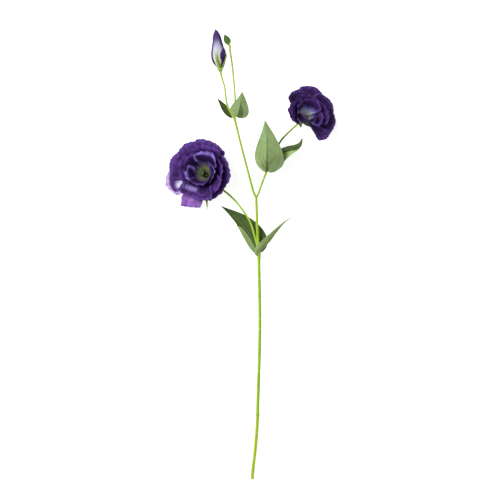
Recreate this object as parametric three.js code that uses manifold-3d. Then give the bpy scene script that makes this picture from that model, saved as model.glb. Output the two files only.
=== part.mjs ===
// A cut lisianthus (Eustoma) stem, lying on a table: two open double blooms, one
// half-open bud, one small green bud and three pairs of leaves.
//
// Millimetres. +Y runs up the stem, +X to its right, +Z away from the table, which is z = 0.
// The stem rests on its cut end and on the lowest petals of the two blooms.

import * as THREE from 'three';
import * as BufferGeometryUtils from 'three/addons/utils/BufferGeometryUtils.js';
import Module from 'manifold-3d';

const wasm = await Module();
wasm.setup();

// ---------------------------------------------------------------- driving dimensions

const stemRadius = 2.2;
const branchRadius = 1.75;
const sideBranchRadius = 1.5;
const twigRadius = 1.2;
const stemSides = 8;
const twigSides = 6;

const petalThickness = 0.8;
const leafThickness = 0.9;
const sepalThickness = 0.9;

const petalColumns = 8;
const innerColumns = 6;
const petalRows = 5;
const leafColumns = 6;
const leafRows = 10;

const seatGap = 0.3;            // left between pieces that touch
const calyxDepth = 5;           // from the end of a flower stalk to the underside of the corolla
const corollaFloor = 1.6;       // thickness of the corolla where the claws meet
const clawRadius = 2.6;         // where the petals' claws leave that floor
const bloomTube = 4.2;          // radius of an open bloom's corolla tube
const budTube = 3.2;            // and of the half-open bud's
const scrapVolume = 20;         // smaller loose crumbs left by a cut are dropped, in mm3

const vector = (x, y, z) => new THREE.Vector3(x, y, z);
const up = vector(0, 0, 1);
const lerp = THREE.MathUtils.lerp;
const radians = THREE.MathUtils.degToRad;
const smoothstep = THREE.MathUtils.smoothstep;

// The end of each flower stalk, and the way the flower there faces.
const leftBloom = {
  seat: vector(-59.1, 107.5, 8.6),
  axis: vector(-0.24, 0.10, 0.966).normalize(),
};
const rightBloom = {
  seat: vector(66.4, 178.5, 11.6),
  axis: vector(0.383, 0.321, 0.866).normalize(),
};
const purpleBud = {
  seat: vector(-39.5, 241.5, 38),
  axis: vector(-0.105, 0.99, 0.09).normalize(),
};
const greenBud = {
  seat: vector(-28.3, 278, 37.6),
  axis: vector(-0.42, 0.9, 0.1).normalize(),
};

// A unit vector out from a flower's axis, at a turn in degrees round it.
function outwardAt({ axis }, turn) {
  return axis.clone().cross(up).normalize().applyAxisAngle(axis, radians(turn));
}

// A unit vector between a flower's axis and an outward one, at degrees from the axis.
function headingAt({ axis }, outward, degrees) {
  return axis.clone().multiplyScalar(Math.cos(radians(degrees)))
    .addScaledVector(outward, Math.sin(radians(degrees)));
}

// Where leaves and branches leave the stem.
const lowerNode = vector(10.9, 4.2, 19.6);
const fork = vector(7.6, 77, 25);
const middleNode = vector(21.2, 111.5, 28);
const upperNode = vector(-21.4, 181.8, 33.3);

// ---------------------------------------------------------------- solids and meshes

function toSolid(geometry) {
  const bare = geometry.clone();
  bare.deleteAttribute('normal');
  bare.deleteAttribute('uv');
  const merged = BufferGeometryUtils.mergeVertices(bare, 1e-4);
  return new wasm.Manifold(new wasm.Mesh({
    numProp: 3,
    vertProperties: new Float32Array(merged.attributes.position.array),
    triVerts: new Uint32Array(merged.index.array),
  }));
}

function toGeometry(solid) {
  const mesh = solid.getMesh();
  const geometry = new THREE.BufferGeometry();
  geometry.setAttribute('position', new THREE.BufferAttribute(mesh.vertProperties, 3));
  geometry.setIndex(new THREE.BufferAttribute(mesh.triVerts, 1));
  geometry.computeVertexNormals();
  return geometry;
}

function join(solids) {
  return solids.reduce((whole, solid) => whole.add(solid));
}

// Fills sealed hollows and drops loose crumbs: each outer skin is a piece with a
// positive volume, and a sealed hollow is one with a negative volume.
function tidySolid(solid) {
  const isPiece = (body) => body.volume() > scrapVolume;
  const pieces = join(solid.decompose().filter(isPiece)).simplify(0.05).decompose();
  return join(pieces.filter(isPiece));
}

// Everything below the table top is cut away, which leaves a small flat to rest on.
function trimAtTable(solid) {
  const slab = new THREE.BoxGeometry(1000, 1000, 50);
  slab.translate(0, 0, -25);
  return solid.subtract(toSolid(slab));
}

function namedMesh(name, solid, color, roughness) {
  const material = new THREE.MeshStandardMaterial({ color, roughness, metalness: 0 });
  const mesh = new THREE.Mesh(toGeometry(tidySolid(solid)), material);
  mesh.name = name;
  return mesh;
}

// A closed blade on a surface(u, v), with u from -1 to 1 across it and v from 0 to 1
// along it. Both faces are split into the same triangles.
function blade(surface, columns, rows, thickness) {
  const positions = [];
  const step = 1e-3;
  for (let row = 0; row <= rows; row++) {
    for (let column = 0; column <= columns; column++) {
      const u = (2 * column) / columns - 1;
      const v = row / rows;
      const point = surface(u, v);
      const across = surface(u + step, v).sub(surface(u - step, v));
      const along = surface(u, Math.min(1, v + step)).sub(surface(u, Math.max(0, v - step)));
      const normal = across.cross(along).normalize().multiplyScalar(thickness / 2);
      positions.push(point.clone().add(normal), point.clone().sub(normal));
    }
  }
  const index = [];
  const front = (column, row) => 2 * (row * (columns + 1) + column);
  const back = (column, row) => front(column, row) + 1;
  for (let row = 0; row < rows; row++) {
    for (let column = 0; column < columns; column++) {
      const a = [column, row];
      const b = [column + 1, row];
      const c = [column + 1, row + 1];
      const d = [column, row + 1];
      const halves = column < columns / 2 ? [[a, b, c], [a, c, d]] : [[a, b, d], [b, c, d]];
      for (const [p, q, r] of halves) {
        index.push(front(...p), front(...q), front(...r));
        index.push(back(...p), back(...r), back(...q));
      }
    }
  }
  const edge = (p, q) => {
    index.push(front(...p), back(...p), back(...q));
    index.push(front(...p), back(...q), front(...q));
  };
  for (let column = 0; column < columns; column++) {
    edge([column, 0], [column + 1, 0]);
    edge([column + 1, rows], [column, rows]);
  }
  for (let row = 0; row < rows; row++) {
    edge([columns, row], [columns, row + 1]);
    edge([0, row + 1], [0, row]);
  }
  const geometry = new THREE.BufferGeometry().setFromPoints(positions);
  geometry.setIndex(index);
  return toSolid(geometry);
}

// A closed rod round a curve, with its radius at each share of the way and at each
// angle round it given by radiusAt(share, angle).
function rod(curve, steps, radiusAt, sides) {
  const frames = curve.computeFrenetFrames(steps, false);
  const positions = [];
  for (let ring = 0; ring <= steps; ring++) {
    const centre = curve.getPointAt(ring / steps);
    for (let side = 0; side < sides; side++) {
      const angle = (side / sides) * 2 * Math.PI;
      const radius = radiusAt(ring / steps, angle);
      positions.push(centre.clone()
        .addScaledVector(frames.normals[ring], radius * Math.cos(angle))
        .addScaledVector(frames.binormals[ring], radius * Math.sin(angle)));
    }
  }
  const first = positions.push(curve.getPointAt(0)) - 1;
  const last = positions.push(curve.getPointAt(1)) - 1;
  const index = [];
  for (let side = 0; side < sides; side++) {
    const next = (side + 1) % sides;
    for (let ring = 0; ring < steps; ring++) {
      const a = ring * sides + side;
      const b = ring * sides + next;
      index.push(a, b, b + sides, a, b + sides, a + sides);
    }
    index.push(first, next, side);
    index.push(last, steps * sides + side, steps * sides + next);
  }
  const geometry = new THREE.BufferGeometry().setFromPoints(positions);
  geometry.setIndex(index);
  return toSolid(geometry);
}

// A turned solid on a flower's axis, from [radius, height] pairs above its seat.
function turned(flower, profile, sides) {
  const geometry = new THREE.LatheGeometry(profile.map(([r, h]) => new THREE.Vector2(r, h)), sides);
  const turn = new THREE.Quaternion().setFromUnitVectors(vector(0, 1, 0), flower.axis);
  geometry.applyQuaternion(turn);
  geometry.translate(flower.seat.x, flower.seat.y, flower.seat.z);
  return toSolid(geometry);
}

// ---------------------------------------------------------------- stem

// A slight swelling where a pair of lower leaves was stripped off.
const strippedNodes = [-288.1, -213.6, -177.2, -118.8, -54.5, -10.6];
const nodeSwelling = 0.45;
const nodeLength = 4;

const stemRoute = [
  [2.2, -300.4, 2.0], [2.6, -293, 2.0], [3.4, -285.3, 2.2], [6.9, -253.5, 3.7],
  [9.1, -221.6, 5.8], [10.0, -189.8, 8.0], [11.4, -147.3, 10.8], [12.4, -104.8, 13.5],
  [12.3, -62.4, 16.0], [11.3, -19.9, 18.4], lowerNode, [8.9, 33.8, 21.5],
  [8.4, 54, 23.0], fork,
];
const leftBranchRoute = [
  fork, [4.7, 82.3, 25.3], [-0.9, 102.2, 27], [-7.9, 128.7, 29], [-13.5, 149.9, 31],
  [-17.4, 165.9, 32.3], upperNode,
];
const rightBranchRoute = [fork, [10.4, 82.3, 25.4], [15.1, 95.5, 26.8], middleNode];
const leftStalkRoute = [
  lowerNode, [8.6, 14.5, 19.8], [5.6, 25.5, 18.9], [1.2, 40.5, 16.6], [-2.9, 49.1, 14.8],
  [-11.8, 62.4, 11.8], [-20.2, 73, 9.0], [-30, 82.3, 6.2], [-36.5, 87.6, 4.8],
  [-45, 95, 3.4], [-53.5, 102.5, 3.6],
];
const rightStalkRoute = [
  middleNode, [25, 122, 26.4], [32, 137, 22.6], [40.3, 152.6, 17.8], [44.5, 157.9, 15.6],
  [52.4, 165.9, 12.6], [57.8, 171.2, 9.4], [62.2, 175.2, 7.4],
];
const budStalkRoute = [
  upperNode, [-25.4, 188.4, 34], [-28.9, 194.2, 34.6], [-31.2, 200.4, 35.3], [-32.4, 208.3, 36],
  [-33.7, 218.9, 36.8], [-34.9, 225.4, 37.2], [-37.1, 232.2, 37.5],
];
const greenStalkRoute = [
  upperNode, [-20.6, 194, 33.2], [-20.4, 206, 33.6], [-21.2, 218.9, 34.2], [-22.3, 232.2, 35],
  [-23.9, 248, 36.0], [-25.4, 260, 36.7], [-26.9, 270, 37.2],
];

const route = (points) => new THREE.CatmullRomCurve3(
  points.map((point) => (point.isVector3 ? point : vector(...point))), false, 'centripetal');

// A stalk that ends at a flower's seat, arriving along the flower's axis.
function stalkRoute(points, flower) {
  const approach = flower.seat.clone().addScaledVector(flower.axis, -1.5);
  return route([...points, approach, flower.seat]);
}

const stalks = [
  { curve: stalkRoute(leftStalkRoute, leftBloom), steps: 18, radius: 1.35 },
  { curve: stalkRoute(rightStalkRoute, rightBloom), steps: 14, radius: 1.35 },
  { curve: stalkRoute(budStalkRoute, purpleBud), steps: 10, radius: twigRadius },
  { curve: stalkRoute(greenStalkRoute, greenBud), steps: 10, radius: twigRadius },
];

function swellingAt(y, places, length) {
  return places.reduce((sum, place) => sum + Math.exp(-(((y - place) / length) ** 2)), 0);
}

// The main stem, its two branches and the four flower stalks. extra thickens them all.
function stemSolids(extra) {
  const mainCurve = route(stemRoute);
  const mainRadius = (share) => {
    const y = mainCurve.getPointAt(share).y;
    const thinning = lerp(stemRadius, branchRadius, smoothstep(y, 4, 30));
    const knots = nodeSwelling * swellingAt(y, strippedNodes, nodeLength);
    const flare = 0.9 * swellingAt(y, [lowerNode.y], 7);
    const cutEnd = share === 0 ? -0.3 : 0;
    return thinning + knots + flare + cutEnd + extra;
  };
  const sideRadius = (share) => sideBranchRadius + 0.2 * (1 - share) ** 6 + extra;
  const leftRadius = (share) => sideRadius(share) + 0.6 * share ** 20;
  const rightRadius = (share) => sideRadius(share) + 0.5 * share ** 6;
  const solids = [
    rod(mainCurve, 54, mainRadius, stemSides),
    rod(route(leftBranchRoute), 10, leftRadius, stemSides),
    rod(route(rightBranchRoute), 5, rightRadius, stemSides),
  ];
  for (const { curve, steps, radius } of stalks) {
    const flare = (share) => 0.8 * share ** 14 + 0.4 * (1 - share) ** 8;
    solids.push(rod(curve, steps, (share) => radius + flare(share) + extra, twigSides));
  }
  return solids;
}

function stem() {
  return trimAtTable(join(stemSolids(0)));
}

// The stem with the seat gap all round it. Leaves are cut back to it.
const stemClearance = join(stemSolids(seatGap));

// ---------------------------------------------------------------- leaves

// Leaf outline: widest part of the way up, drawn out to a long point.
function leafShape(v, broad) {
  return 0.03 + Math.sin(Math.PI * Math.min(1, 0.012 + 0.988 * v) ** broad) ** 1.1;
}

// facing: the way the face that looks up from the table points at the base and the tip.
// fold: how far the halves rise from the midrib, in radians, or drop if negative.
// left and right: the widest reach of each half. broad: 0.5 is widest near the base.
function leafSurface({ midrib, left, right, facing, fold, broad = [0.62, 0.62], wave = 0 }) {
  const curve = route(midrib);
  const [baseFacing, tipFacing] = facing.map((direction) => vector(...direction).normalize());
  return (u, v) => {
    const centre = curve.getPointAt(v);
    const along = curve.getTangentAt(v);
    const face = baseFacing.clone().lerp(tipFacing, v);
    face.addScaledVector(along, -face.dot(along)).normalize();
    const side = along.clone().cross(face);
    const halfWidth = u < 0 ? left * leafShape(v, broad[0]) : right * leafShape(v, broad[1]);
    const reach = halfWidth * u;
    const bend = Math.abs(u) * halfWidth;
    const edgeWave = wave * Math.sin(9 * v + 3 * u) * u * u * Math.min(1, halfWidth / 4);
    return centre
      .addScaledVector(side, reach * Math.cos(Math.abs(fold)))
      .addScaledVector(face, bend * Math.sin(fold) + edgeWave);
  };
}

const leaves = {
  // Front leaf of the lower pair, almost edge on, its foot round the stem.
  leaf_lower_right: {
    midrib: [[7.6, -0.2, 22.6], [9.6, 6.4, 24.2], [15.6, 13.3, 26], [23.4, 21.2, 28.2],
      [32.5, 31.2, 30.5], [44.5, 43.4, 32.3], [55.2, 51.1, 32.5]],
    left: 5, right: 5.2, facing: [[-0.1, -0.3, 0.95], [0.5, -0.6, 0.6]], fold: -0.45,
    broad: [0.5, 0.5],
  },
  // Rear leaf of the lower pair, its dark face up.
  leaf_lower_left: {
    midrib: [[10, 2.6, 15.4], [4.6, 16.4, 13.6], [-4, 31.4, 11.8], [-15.5, 46, 10.4],
      [-28.4, 57.4, 9.8], [-39, 65.6, 11]],
    left: 8.5, right: 19, facing: [[0.1, 0.15, 0.95], [-0.1, 0.3, 0.95]], fold: 0.25,
    broad: [0.55, 0.5],
  },
  // Front leaf of the middle pair, the largest, its pale back up.
  leaf_middle_front: {
    midrib: [[20.9, 110.8, 30.8], [21.1, 122, 33.2], [21.8, 138, 35.6], [21.6, 155, 37.6],
      [20.3, 168, 38.9], [19.2, 177.6, 39.6]],
    left: 15.8, right: 23, facing: [[0, -0.15, 1], [0, 0.1, 1]], fold: -0.22,
    broad: [0.62, 0.47], wave: 0.8,
  },
  // Rear leaf of the middle pair, partly behind the largest.
  leaf_middle_right: {
    midrib: [[22.8, 111.6, 26.6], [31, 122, 22.4], [40, 132.5, 20.2], [50, 138.5, 19.2],
      [60, 142.6, 19.6], [66.7, 148, 21.2], [69.4, 155.6, 24]],
    left: 10.5, right: 10, facing: [[-0.2, 0.5, 0.85], [-0.35, 0.35, 0.87]], fold: -0.25,
    broad: [0.7, 0.5],
  },
  // Front leaf of the upper pair, its pale back up.
  leaf_upper_right: {
    midrib: [[-18.6, 182.8, 36.2], [-16.6, 187.5, 37.6], [-14.4, 196, 38.9], [-12.4, 205, 40],
      [-11.1, 215.8, 41]],
    left: 11.5, right: 14, facing: [[0.05, -0.2, 1], [0.1, 0.1, 1]], fold: -0.3,
    broad: [0.5, 0.52],
  },
  // Rear leaf of the upper pair, narrow, its dark face up.
  leaf_upper_left: {
    midrib: [[-23.4, 182.6, 30.6], [-28, 188.5, 30], [-33.5, 195, 30.2], [-39, 202, 31.4],
      [-44.4, 208.3, 33.4]],
    left: 5.4, right: 4.4, facing: [[-0.2, 0.3, 0.9], [-0.3, 0.2, 0.9]], fold: 0.25,
  },
};

function leafSolid(leaf) {
  const whole = blade(leafSurface(leaf), leafColumns, leafRows, leafThickness);
  return whole.subtract(stemClearance);
}

// ---------------------------------------------------------------- petals

// Petal outline: a narrow claw that widens into a broad, blunt top.
function petalShape(t, slender) {
  const widening = Math.sin((Math.PI / 2) * Math.min(1, t / 0.78)) ** slender;
  const blunt = 1 - 0.16 * Math.max(0, (t - 0.78) / 0.22) ** 2;
  return (0.09 + 0.91 * widening) * blunt;
}

// tip: [x, y] of the middle of the rim from the seat, and its height up the axis.
// leave and finish: the spine's angle from the axis, in degrees, at the claw and the rim.
// cup: 1 curls the petal round the axis, 0 leaves it flat. lean: tilts one edge out.
// round: how far the corners of the rim fall short of its middle. taper: narrows the top.
// skew: how much further one corner reaches than the other. slender: how late it widens.
// roll: how far, in mm, the rim turns back out of the petal, from rollFrom of its length on.
function petalSurface(flower, petal) {
  const { tip: [x, y, height], width, leave, finish, cup, lean = 0.1, phase = 0 } = petal;
  const { ruffle = 1.9, round = 0.19, taper = 0, skew = 0 } = petal;
  const { slender = 1.35, roll = 1.2, rollFrom = 0.7 } = petal;
  const { seat, axis } = flower;
  const flatPart = vector(x, y, 0);
  const z = (height - flatPart.dot(axis)) / axis.z;
  const tip = vector(x, y, z);
  const outward = tip.clone().addScaledVector(axis, -height).normalize();
  const side = axis.clone().cross(outward);
  const start = seat.clone()
    .addScaledVector(axis, calyxDepth + corollaFloor / 2).addScaledVector(outward, clawRadius);
  const end = seat.clone().add(tip);
  const pull = start.distanceTo(end) * 0.42;
  const spine = new THREE.CubicBezierCurve3(
    start, start.clone().addScaledVector(headingAt(flower, outward, leave), pull),
    end.clone().addScaledVector(headingAt(flower, outward, finish), -pull), end);
  return (u, v) => {
    const t = v * (1 - round * Math.abs(u) ** 2.4 + skew * u);
    const centre = spine.getPoint(t);
    const along = spine.getTangent(t);
    const inward = along.clone().cross(side).normalize();
    const spoke = centre.clone().sub(seat);
    const radius = spoke.addScaledVector(axis, -spoke.dot(axis)).length();
    const bend = Math.max(cup, 0.02) / Math.max(radius, 6);
    const reach = (width / 2) * petalShape(t, slender) * (1 - taper * t * t) * u;
    const wave = ruffle * Math.sin(5.2 * u + phase) * (0.35 + 0.65 * u * u) * Math.min(1, t) ** 2.5;
    const sideRim = smoothstep(Math.abs(u), 0.72, 1) * smoothstep(t, 0.35, 0.7);
    const rim = Math.max(smoothstep(t, rollFrom, 1), 0.75 * sideRim);
    const rolled = roll * rim ** 2;
    const lift = (1 - Math.cos(bend * reach)) / bend + lean * reach * t + wave - rolled;
    return centre
      .addScaledVector(side, Math.sin(bend * reach) / bend)
      .addScaledVector(inward, lift)
      .addScaledVector(along, -0.35 * rolled * rim);
  };
}

// The short tube that all claws grow from.
function corollaBase(flower, radius) {
  const underside = calyxDepth;
  const floor = underside + corollaFloor;
  return turned(flower, [
    [0, underside], [radius * 0.85, underside], [radius, underside + 1.2], [radius, floor + 1],
    [radius * 0.7, floor + 1.3], [radius * 0.45, floor], [0, floor],
  ], 12);
}

function petals(flower, list, radius) {
  const blades = list.map((petal) => {
    const columns = petal.width > 35 ? petalColumns : innerColumns;
    return blade(petalSurface(flower, petal), columns, petalRows, petalThickness);
  });
  return trimAtTable(join([corollaBase(flower, radius), ...blades]));
}

const leftPetals = [
  // outer
  { tip: [5, 44, 20], width: 46, leave: 74, finish: 56, cup: 0.4, lean: 0.08, phase: 0.4,
    round: 0.12, skew: 0.1, roll: 3.5 },
  { tip: [30, 6, 21], width: 46, leave: 74, finish: 54, cup: 0.4, phase: 1.2, roll: 3.5 },
  { tip: [15, -28.5, 18], width: 42, leave: 74, finish: 60, cup: 0.4, phase: 2.2, roll: 3 },
  { tip: [-22.5, -43, 8], width: 30, leave: 82, finish: 112, cup: 0.15, phase: 0, round: 0.02,
    skew: -0.08, roll: 0.3 },
  { tip: [-55, -9.5, 9.8], width: 40, leave: 74, finish: 56, cup: 0.55, lean: 0.05, phase: 3.1,
    roll: 4.5 },
  { tip: [-49, 19, 13.6], width: 42, leave: 74, finish: 56, cup: 0.35, phase: 4.4, roll: 3.5 },
  { tip: [-31, 39, 19], width: 44, leave: 74, finish: 52, cup: 0.35, lean: 0.08, phase: 5.2,
    roll: 3.5 },
  // middle
  { tip: [-14, -34, 18], width: 50, leave: 50, finish: 118, cup: 0.6, lean: 0.06, phase: 1, roll: 2 },
  { tip: [-36, 2, 26], width: 44, leave: 68, finish: 30, cup: 0.7, phase: 2.5, roll: 3.5,
    skew: -0.18 },
  { tip: [-5, 38, 28], width: 52, leave: 68, finish: 32, cup: 0.7, phase: 3.6, roll: 3.5 },
  { tip: [-28, 27, 30], width: 40, leave: 64, finish: 28, cup: 0.7, phase: 5.6, roll: 3 },
  { tip: [19, 11, 30], width: 46, leave: 66, finish: 28, cup: 0.8, phase: 4.1, roll: 3 },
  { tip: [11, -26, 24], width: 42, leave: 56, finish: 95, cup: 0.8, phase: 5, roll: 2 },
  // inner
  { tip: [1, 26, 38], width: 42, leave: 50, finish: 12, cup: 1, phase: 0.5, roll: 4.5,
    rollFrom: 0.78 },
  { tip: [-24, 22, 36], width: 36, leave: 54, finish: 12, cup: 1, phase: 3.3, roll: 3,
    rollFrom: 0.78 },
  { tip: [-27, 2, 32], width: 25, leave: 58, finish: 20, cup: 1, phase: 1.5, roll: 4, rollFrom: 0.7 },
  { tip: [-8, -13, 32], width: 40, leave: 50, finish: 8, cup: 1, phase: 2.6, roll: 2.5,
    rollFrom: 0.78 },
  { tip: [10, 3, 35], width: 34, leave: 50, finish: 6, cup: 1, phase: 4.2, roll: 2, rollFrom: 0.8 },
];

const rightPetals = [
  // outer
  { tip: [23, 47, 18.8], width: 42, leave: 72, finish: 60, cup: 0.35, lean: 0.08, phase: 0.3,
    ruffle: 2.4, roll: 3 },
  { tip: [-2, 43, 20], width: 34, leave: 72, finish: 58, cup: 0.4, lean: 0.08, phase: 1.1,
    ruffle: 2.4, roll: 3 },
  { tip: [-13, 20, 20], width: 32, leave: 70, finish: 52, cup: 0.5, phase: 2, roll: 3 },
  { tip: [-10, 5, 21], width: 30, leave: 66, finish: 44, cup: 0.6, phase: 2.9, roll: 3 },
  { tip: [42, 30, 21], width: 38, leave: 74, finish: 64, cup: 0.3, lean: 0.05, phase: 3.8, roll: 3 },
  { tip: [48, 6, 19], width: 40, leave: 72, finish: 58, cup: 0.35, lean: 0.08, phase: 4.6, roll: 3,
    slender: 1.8 },
  { tip: [41, -16, 7], width: 38, leave: 76, finish: 84, cup: 0.5, lean: 0.02, phase: 5.5,
    round: 0.3, roll: 2.5, slender: 2 },
  // inner
  { tip: [11, 35, 28], width: 40, leave: 66, finish: 24, cup: 0.8, phase: 0.9, roll: 3 },
  { tip: [36, 16, 28], width: 38, leave: 68, finish: 30, cup: 0.6, phase: 1.9, roll: 3 },
  { tip: [-5, 24, 30], width: 32, leave: 62, finish: 20, cup: 0.9, phase: 2.7, roll: 3 },
  { tip: [9.5, 3.6, 28], width: 34, leave: 62, finish: 4, cup: 0.45, phase: 3.5, roll: 1.5 },
  { tip: [30, 7, 26], width: 28, leave: 64, finish: 26, cup: 0.7, phase: 4.9, roll: 2,
    slender: 1.8 },
  { tip: [18, 28, 35], width: 34, leave: 56, finish: 10, cup: 0.9, phase: 0.2, roll: 2 },
  { tip: [0, 22, 34], width: 24, leave: 56, finish: 10, cup: 1, phase: 2.2, roll: 2 },
];

const rolled = { cup: 1.0, lean: 0.06, ruffle: 0.4, taper: 0.6, slender: 0.8, roll: 0.2 };
const budPetals = [
  { ...rolled, tip: [-5, 52, 51.9], width: 21, leave: 44, finish: -6, phase: 3 },
  { ...rolled, tip: [-9, 50, 50.7], width: 23, leave: 50, finish: -8, phase: 2 },
  { ...rolled, tip: [-1, 48, 47.8], width: 21, leave: 40, finish: -6, phase: 4 },
  { ...rolled, tip: [-6, 55, 55.8], width: 30, leave: 38, finish: -8, ruffle: 0.3,
    slender: 0.5, taper: 0.68 },
  { ...rolled, tip: [4.5, 30, 30], width: 15, leave: 41, finish: -4, phase: 1, taper: 0.1 },
];

// ---------------------------------------------------------------- calyxes

// A calyx: a cup on the end of the stalk with long, pointed, keeled sepals.
// Each sepal: turn round the axis, length, and its angle from the axis at foot and tip.
function calyx(flower, radius, sepals) {
  const { seat, axis } = flower;
  const cup = turned(flower, [
    [0, seatGap], [2.1, seatGap], [radius * 0.85, 2.0], [radius + 1.1, calyxDepth + 0.2],
    [radius + 0.3, calyxDepth + 0.4], [radius * 0.85 + 0.2, calyxDepth - seatGap],
    [0, calyxDepth - seatGap],
  ], 8);
  const blades = sepals.map(({ turn, length, foot, tip, width = 4.6 }) => {
    const outward = outwardAt(flower, turn);
    const side = axis.clone().cross(outward);
    const start = seat.clone().addScaledVector(axis, 2.4).addScaledVector(outward, radius * 0.55);
    const middle = start.clone().addScaledVector(headingAt(flower, outward, foot), length / 2);
    const end = middle.clone().addScaledVector(headingAt(flower, outward, tip), length / 2);
    const spine = new THREE.QuadraticBezierCurve3(start, middle, end);
    const surface = (u, v) => {
      const centre = spine.getPoint(v);
      const inward = spine.getTangent(v).cross(side).normalize();
      const reach = (width / 2) * (0.1 + 0.9 * Math.sin(Math.PI * (0.25 + 0.74 * v)) ** 0.9) * u;
      return centre.addScaledVector(side, reach).addScaledVector(inward, Math.abs(reach) * 0.35);
    };
    return blade(surface, 2, 4, sepalThickness);
  });
  return trimAtTable(join([cup, ...blades]));
}

const leftSepals = [
  { turn: 205, length: 44, foot: 92, tip: 94 },
  { turn: 277, length: 26, foot: 88, tip: 80 },
  { turn: 349, length: 28, foot: 88, tip: 80 },
  { turn: 61, length: 28, foot: 90, tip: 84 },
  { turn: 133, length: 28, foot: 90, tip: 84 },
];
const rightSepals = [
  { turn: 20, length: 15, foot: 84, tip: 74 },
  { turn: 92, length: 24, foot: 90, tip: 84 },
  { turn: 164, length: 22, foot: 90, tip: 84 },
  { turn: 236, length: 9, foot: 84, tip: 74 },
  { turn: 308, length: 9, foot: 84, tip: 70 },
];
const budSepals = [
  { turn: 180, length: 30, foot: 45, tip: 22, width: 3.4 },
  { turn: 252, length: 32, foot: 41, tip: 8, width: 3.4 },
  { turn: 324, length: 22, foot: 45, tip: 14, width: 3.4 },
  { turn: 36, length: 28, foot: 42, tip: 12, width: 3.4 },
  { turn: 108, length: 24, foot: 47, tip: 16, width: 3.4 },
];

// ---------------------------------------------------------------- heart of a bloom

// The pistil with its two-lobed stigma and the stamens round its foot, made stouter and taller by
// girth and rise.
const stamenCount = 5;

function heart(flower, girth, rise) {
  const { seat, axis } = flower;
  const foot = calyxDepth + corollaFloor + seatGap;
  const pistil = [
    [0, 0], [1.6, 0], [3.3, 3.2], [1.4, 7.4], [1.2, 9.6], [4, 12.6], [3, 13.9], [0, 13.9],
  ];
  const ovary = turned(flower, pistil.map(([radius, height]) => (
    [radius * girth, foot + height * rise])), 8);
  const solids = [ovary];
  for (let stamen = 0; stamen < stamenCount; stamen++) {
    const outward = outwardAt(flower, (360 * stamen) / stamenCount);
    const at = (radius, height) => seat.clone()
      .addScaledVector(outward, radius).addScaledVector(axis, foot + height * rise);
    const filament = new THREE.QuadraticBezierCurve3(
      at(0.9, 1), at(2.6 * girth, 4), at(4.4 * girth, 9.5));
    solids.push(rod(filament, 2, () => 0.45, 3));
    const anther = new THREE.LineCurve3(at(4.1 * girth, 8.6), at(4.9 * girth, 11.8));
    solids.push(rod(anther, 3, (share) => 0.35 + 0.75 * Math.sin(Math.PI * share), 4));
  }
  return join(solids);
}

// ---------------------------------------------------------------- small green bud

// A closed bud with five ridges, one for each folded sepal.
function closedBud(flower) {
  const { seat, axis } = flower;
  const tip = seat.clone().addScaledVector(axis, 14.6);
  const curve = new THREE.LineCurve3(seat.clone().addScaledVector(axis, seatGap), tip);
  const belly = (share) => 3.7 * Math.sin(Math.PI * share ** 0.85) ** 0.9;
  const outline = (share) => belly(share) + 1.6 * (1 - share) ** 2 + 0.15;
  const ridge = (angle) => 1 + 0.09 * Math.cos(5 * angle);
  return rod(curve, 8, (share, angle) => outline(share) * ridge(angle), 10);
}

// ---------------------------------------------------------------- the whole flower

const stemGreen = 0x96b937;
const leafGreen = 0x5f7340;
const leafPale = 0x8da76d;
const calyxGreen = 0x889f39;
const petalPurple = 0x3e2a63;
const budPurple = 0x8a7da1;
const heartGreen = 0x6e7657;

const leafColours = {
  leaf_lower_left: leafGreen,
  leaf_lower_right: leafPale,
  leaf_middle_front: leafPale,
  leaf_middle_right: leafGreen,
  leaf_upper_left: leafGreen,
  leaf_upper_right: leafPale,
};

const flowerStem = new THREE.Group();
const add = (name, solid, color, roughness) => {
  flowerStem.add(namedMesh(name, solid, color, roughness));
};
add('stem', stem(), stemGreen, 0.5);
for (const [name, leaf] of Object.entries(leaves)) {
  add(name, leafSolid(leaf), leafColours[name], 0.65);
}
add('bloom_left_petals', petals(leftBloom, leftPetals, bloomTube), petalPurple, 0.7);
add('bloom_left_calyx', calyx(leftBloom, bloomTube, leftSepals), calyxGreen, 0.6);
add('bloom_left_heart', heart(leftBloom, 1, 1), heartGreen, 0.6);
add('bloom_right_petals', petals(rightBloom, rightPetals, bloomTube), petalPurple, 0.7);
add('bloom_right_calyx', calyx(rightBloom, bloomTube, rightSepals), calyxGreen, 0.6);
add('bloom_right_heart', heart(rightBloom, 0.6, 0.55), heartGreen, 0.6);
add('bud_purple_petals', petals(purpleBud, budPetals, budTube), budPurple, 0.7);
add('bud_purple_calyx', calyx(purpleBud, budTube, budSepals), calyxGreen, 0.6);
add('bud_green', closedBud(greenBud), calyxGreen, 0.6);

export default flowerStem;
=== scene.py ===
import math

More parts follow.
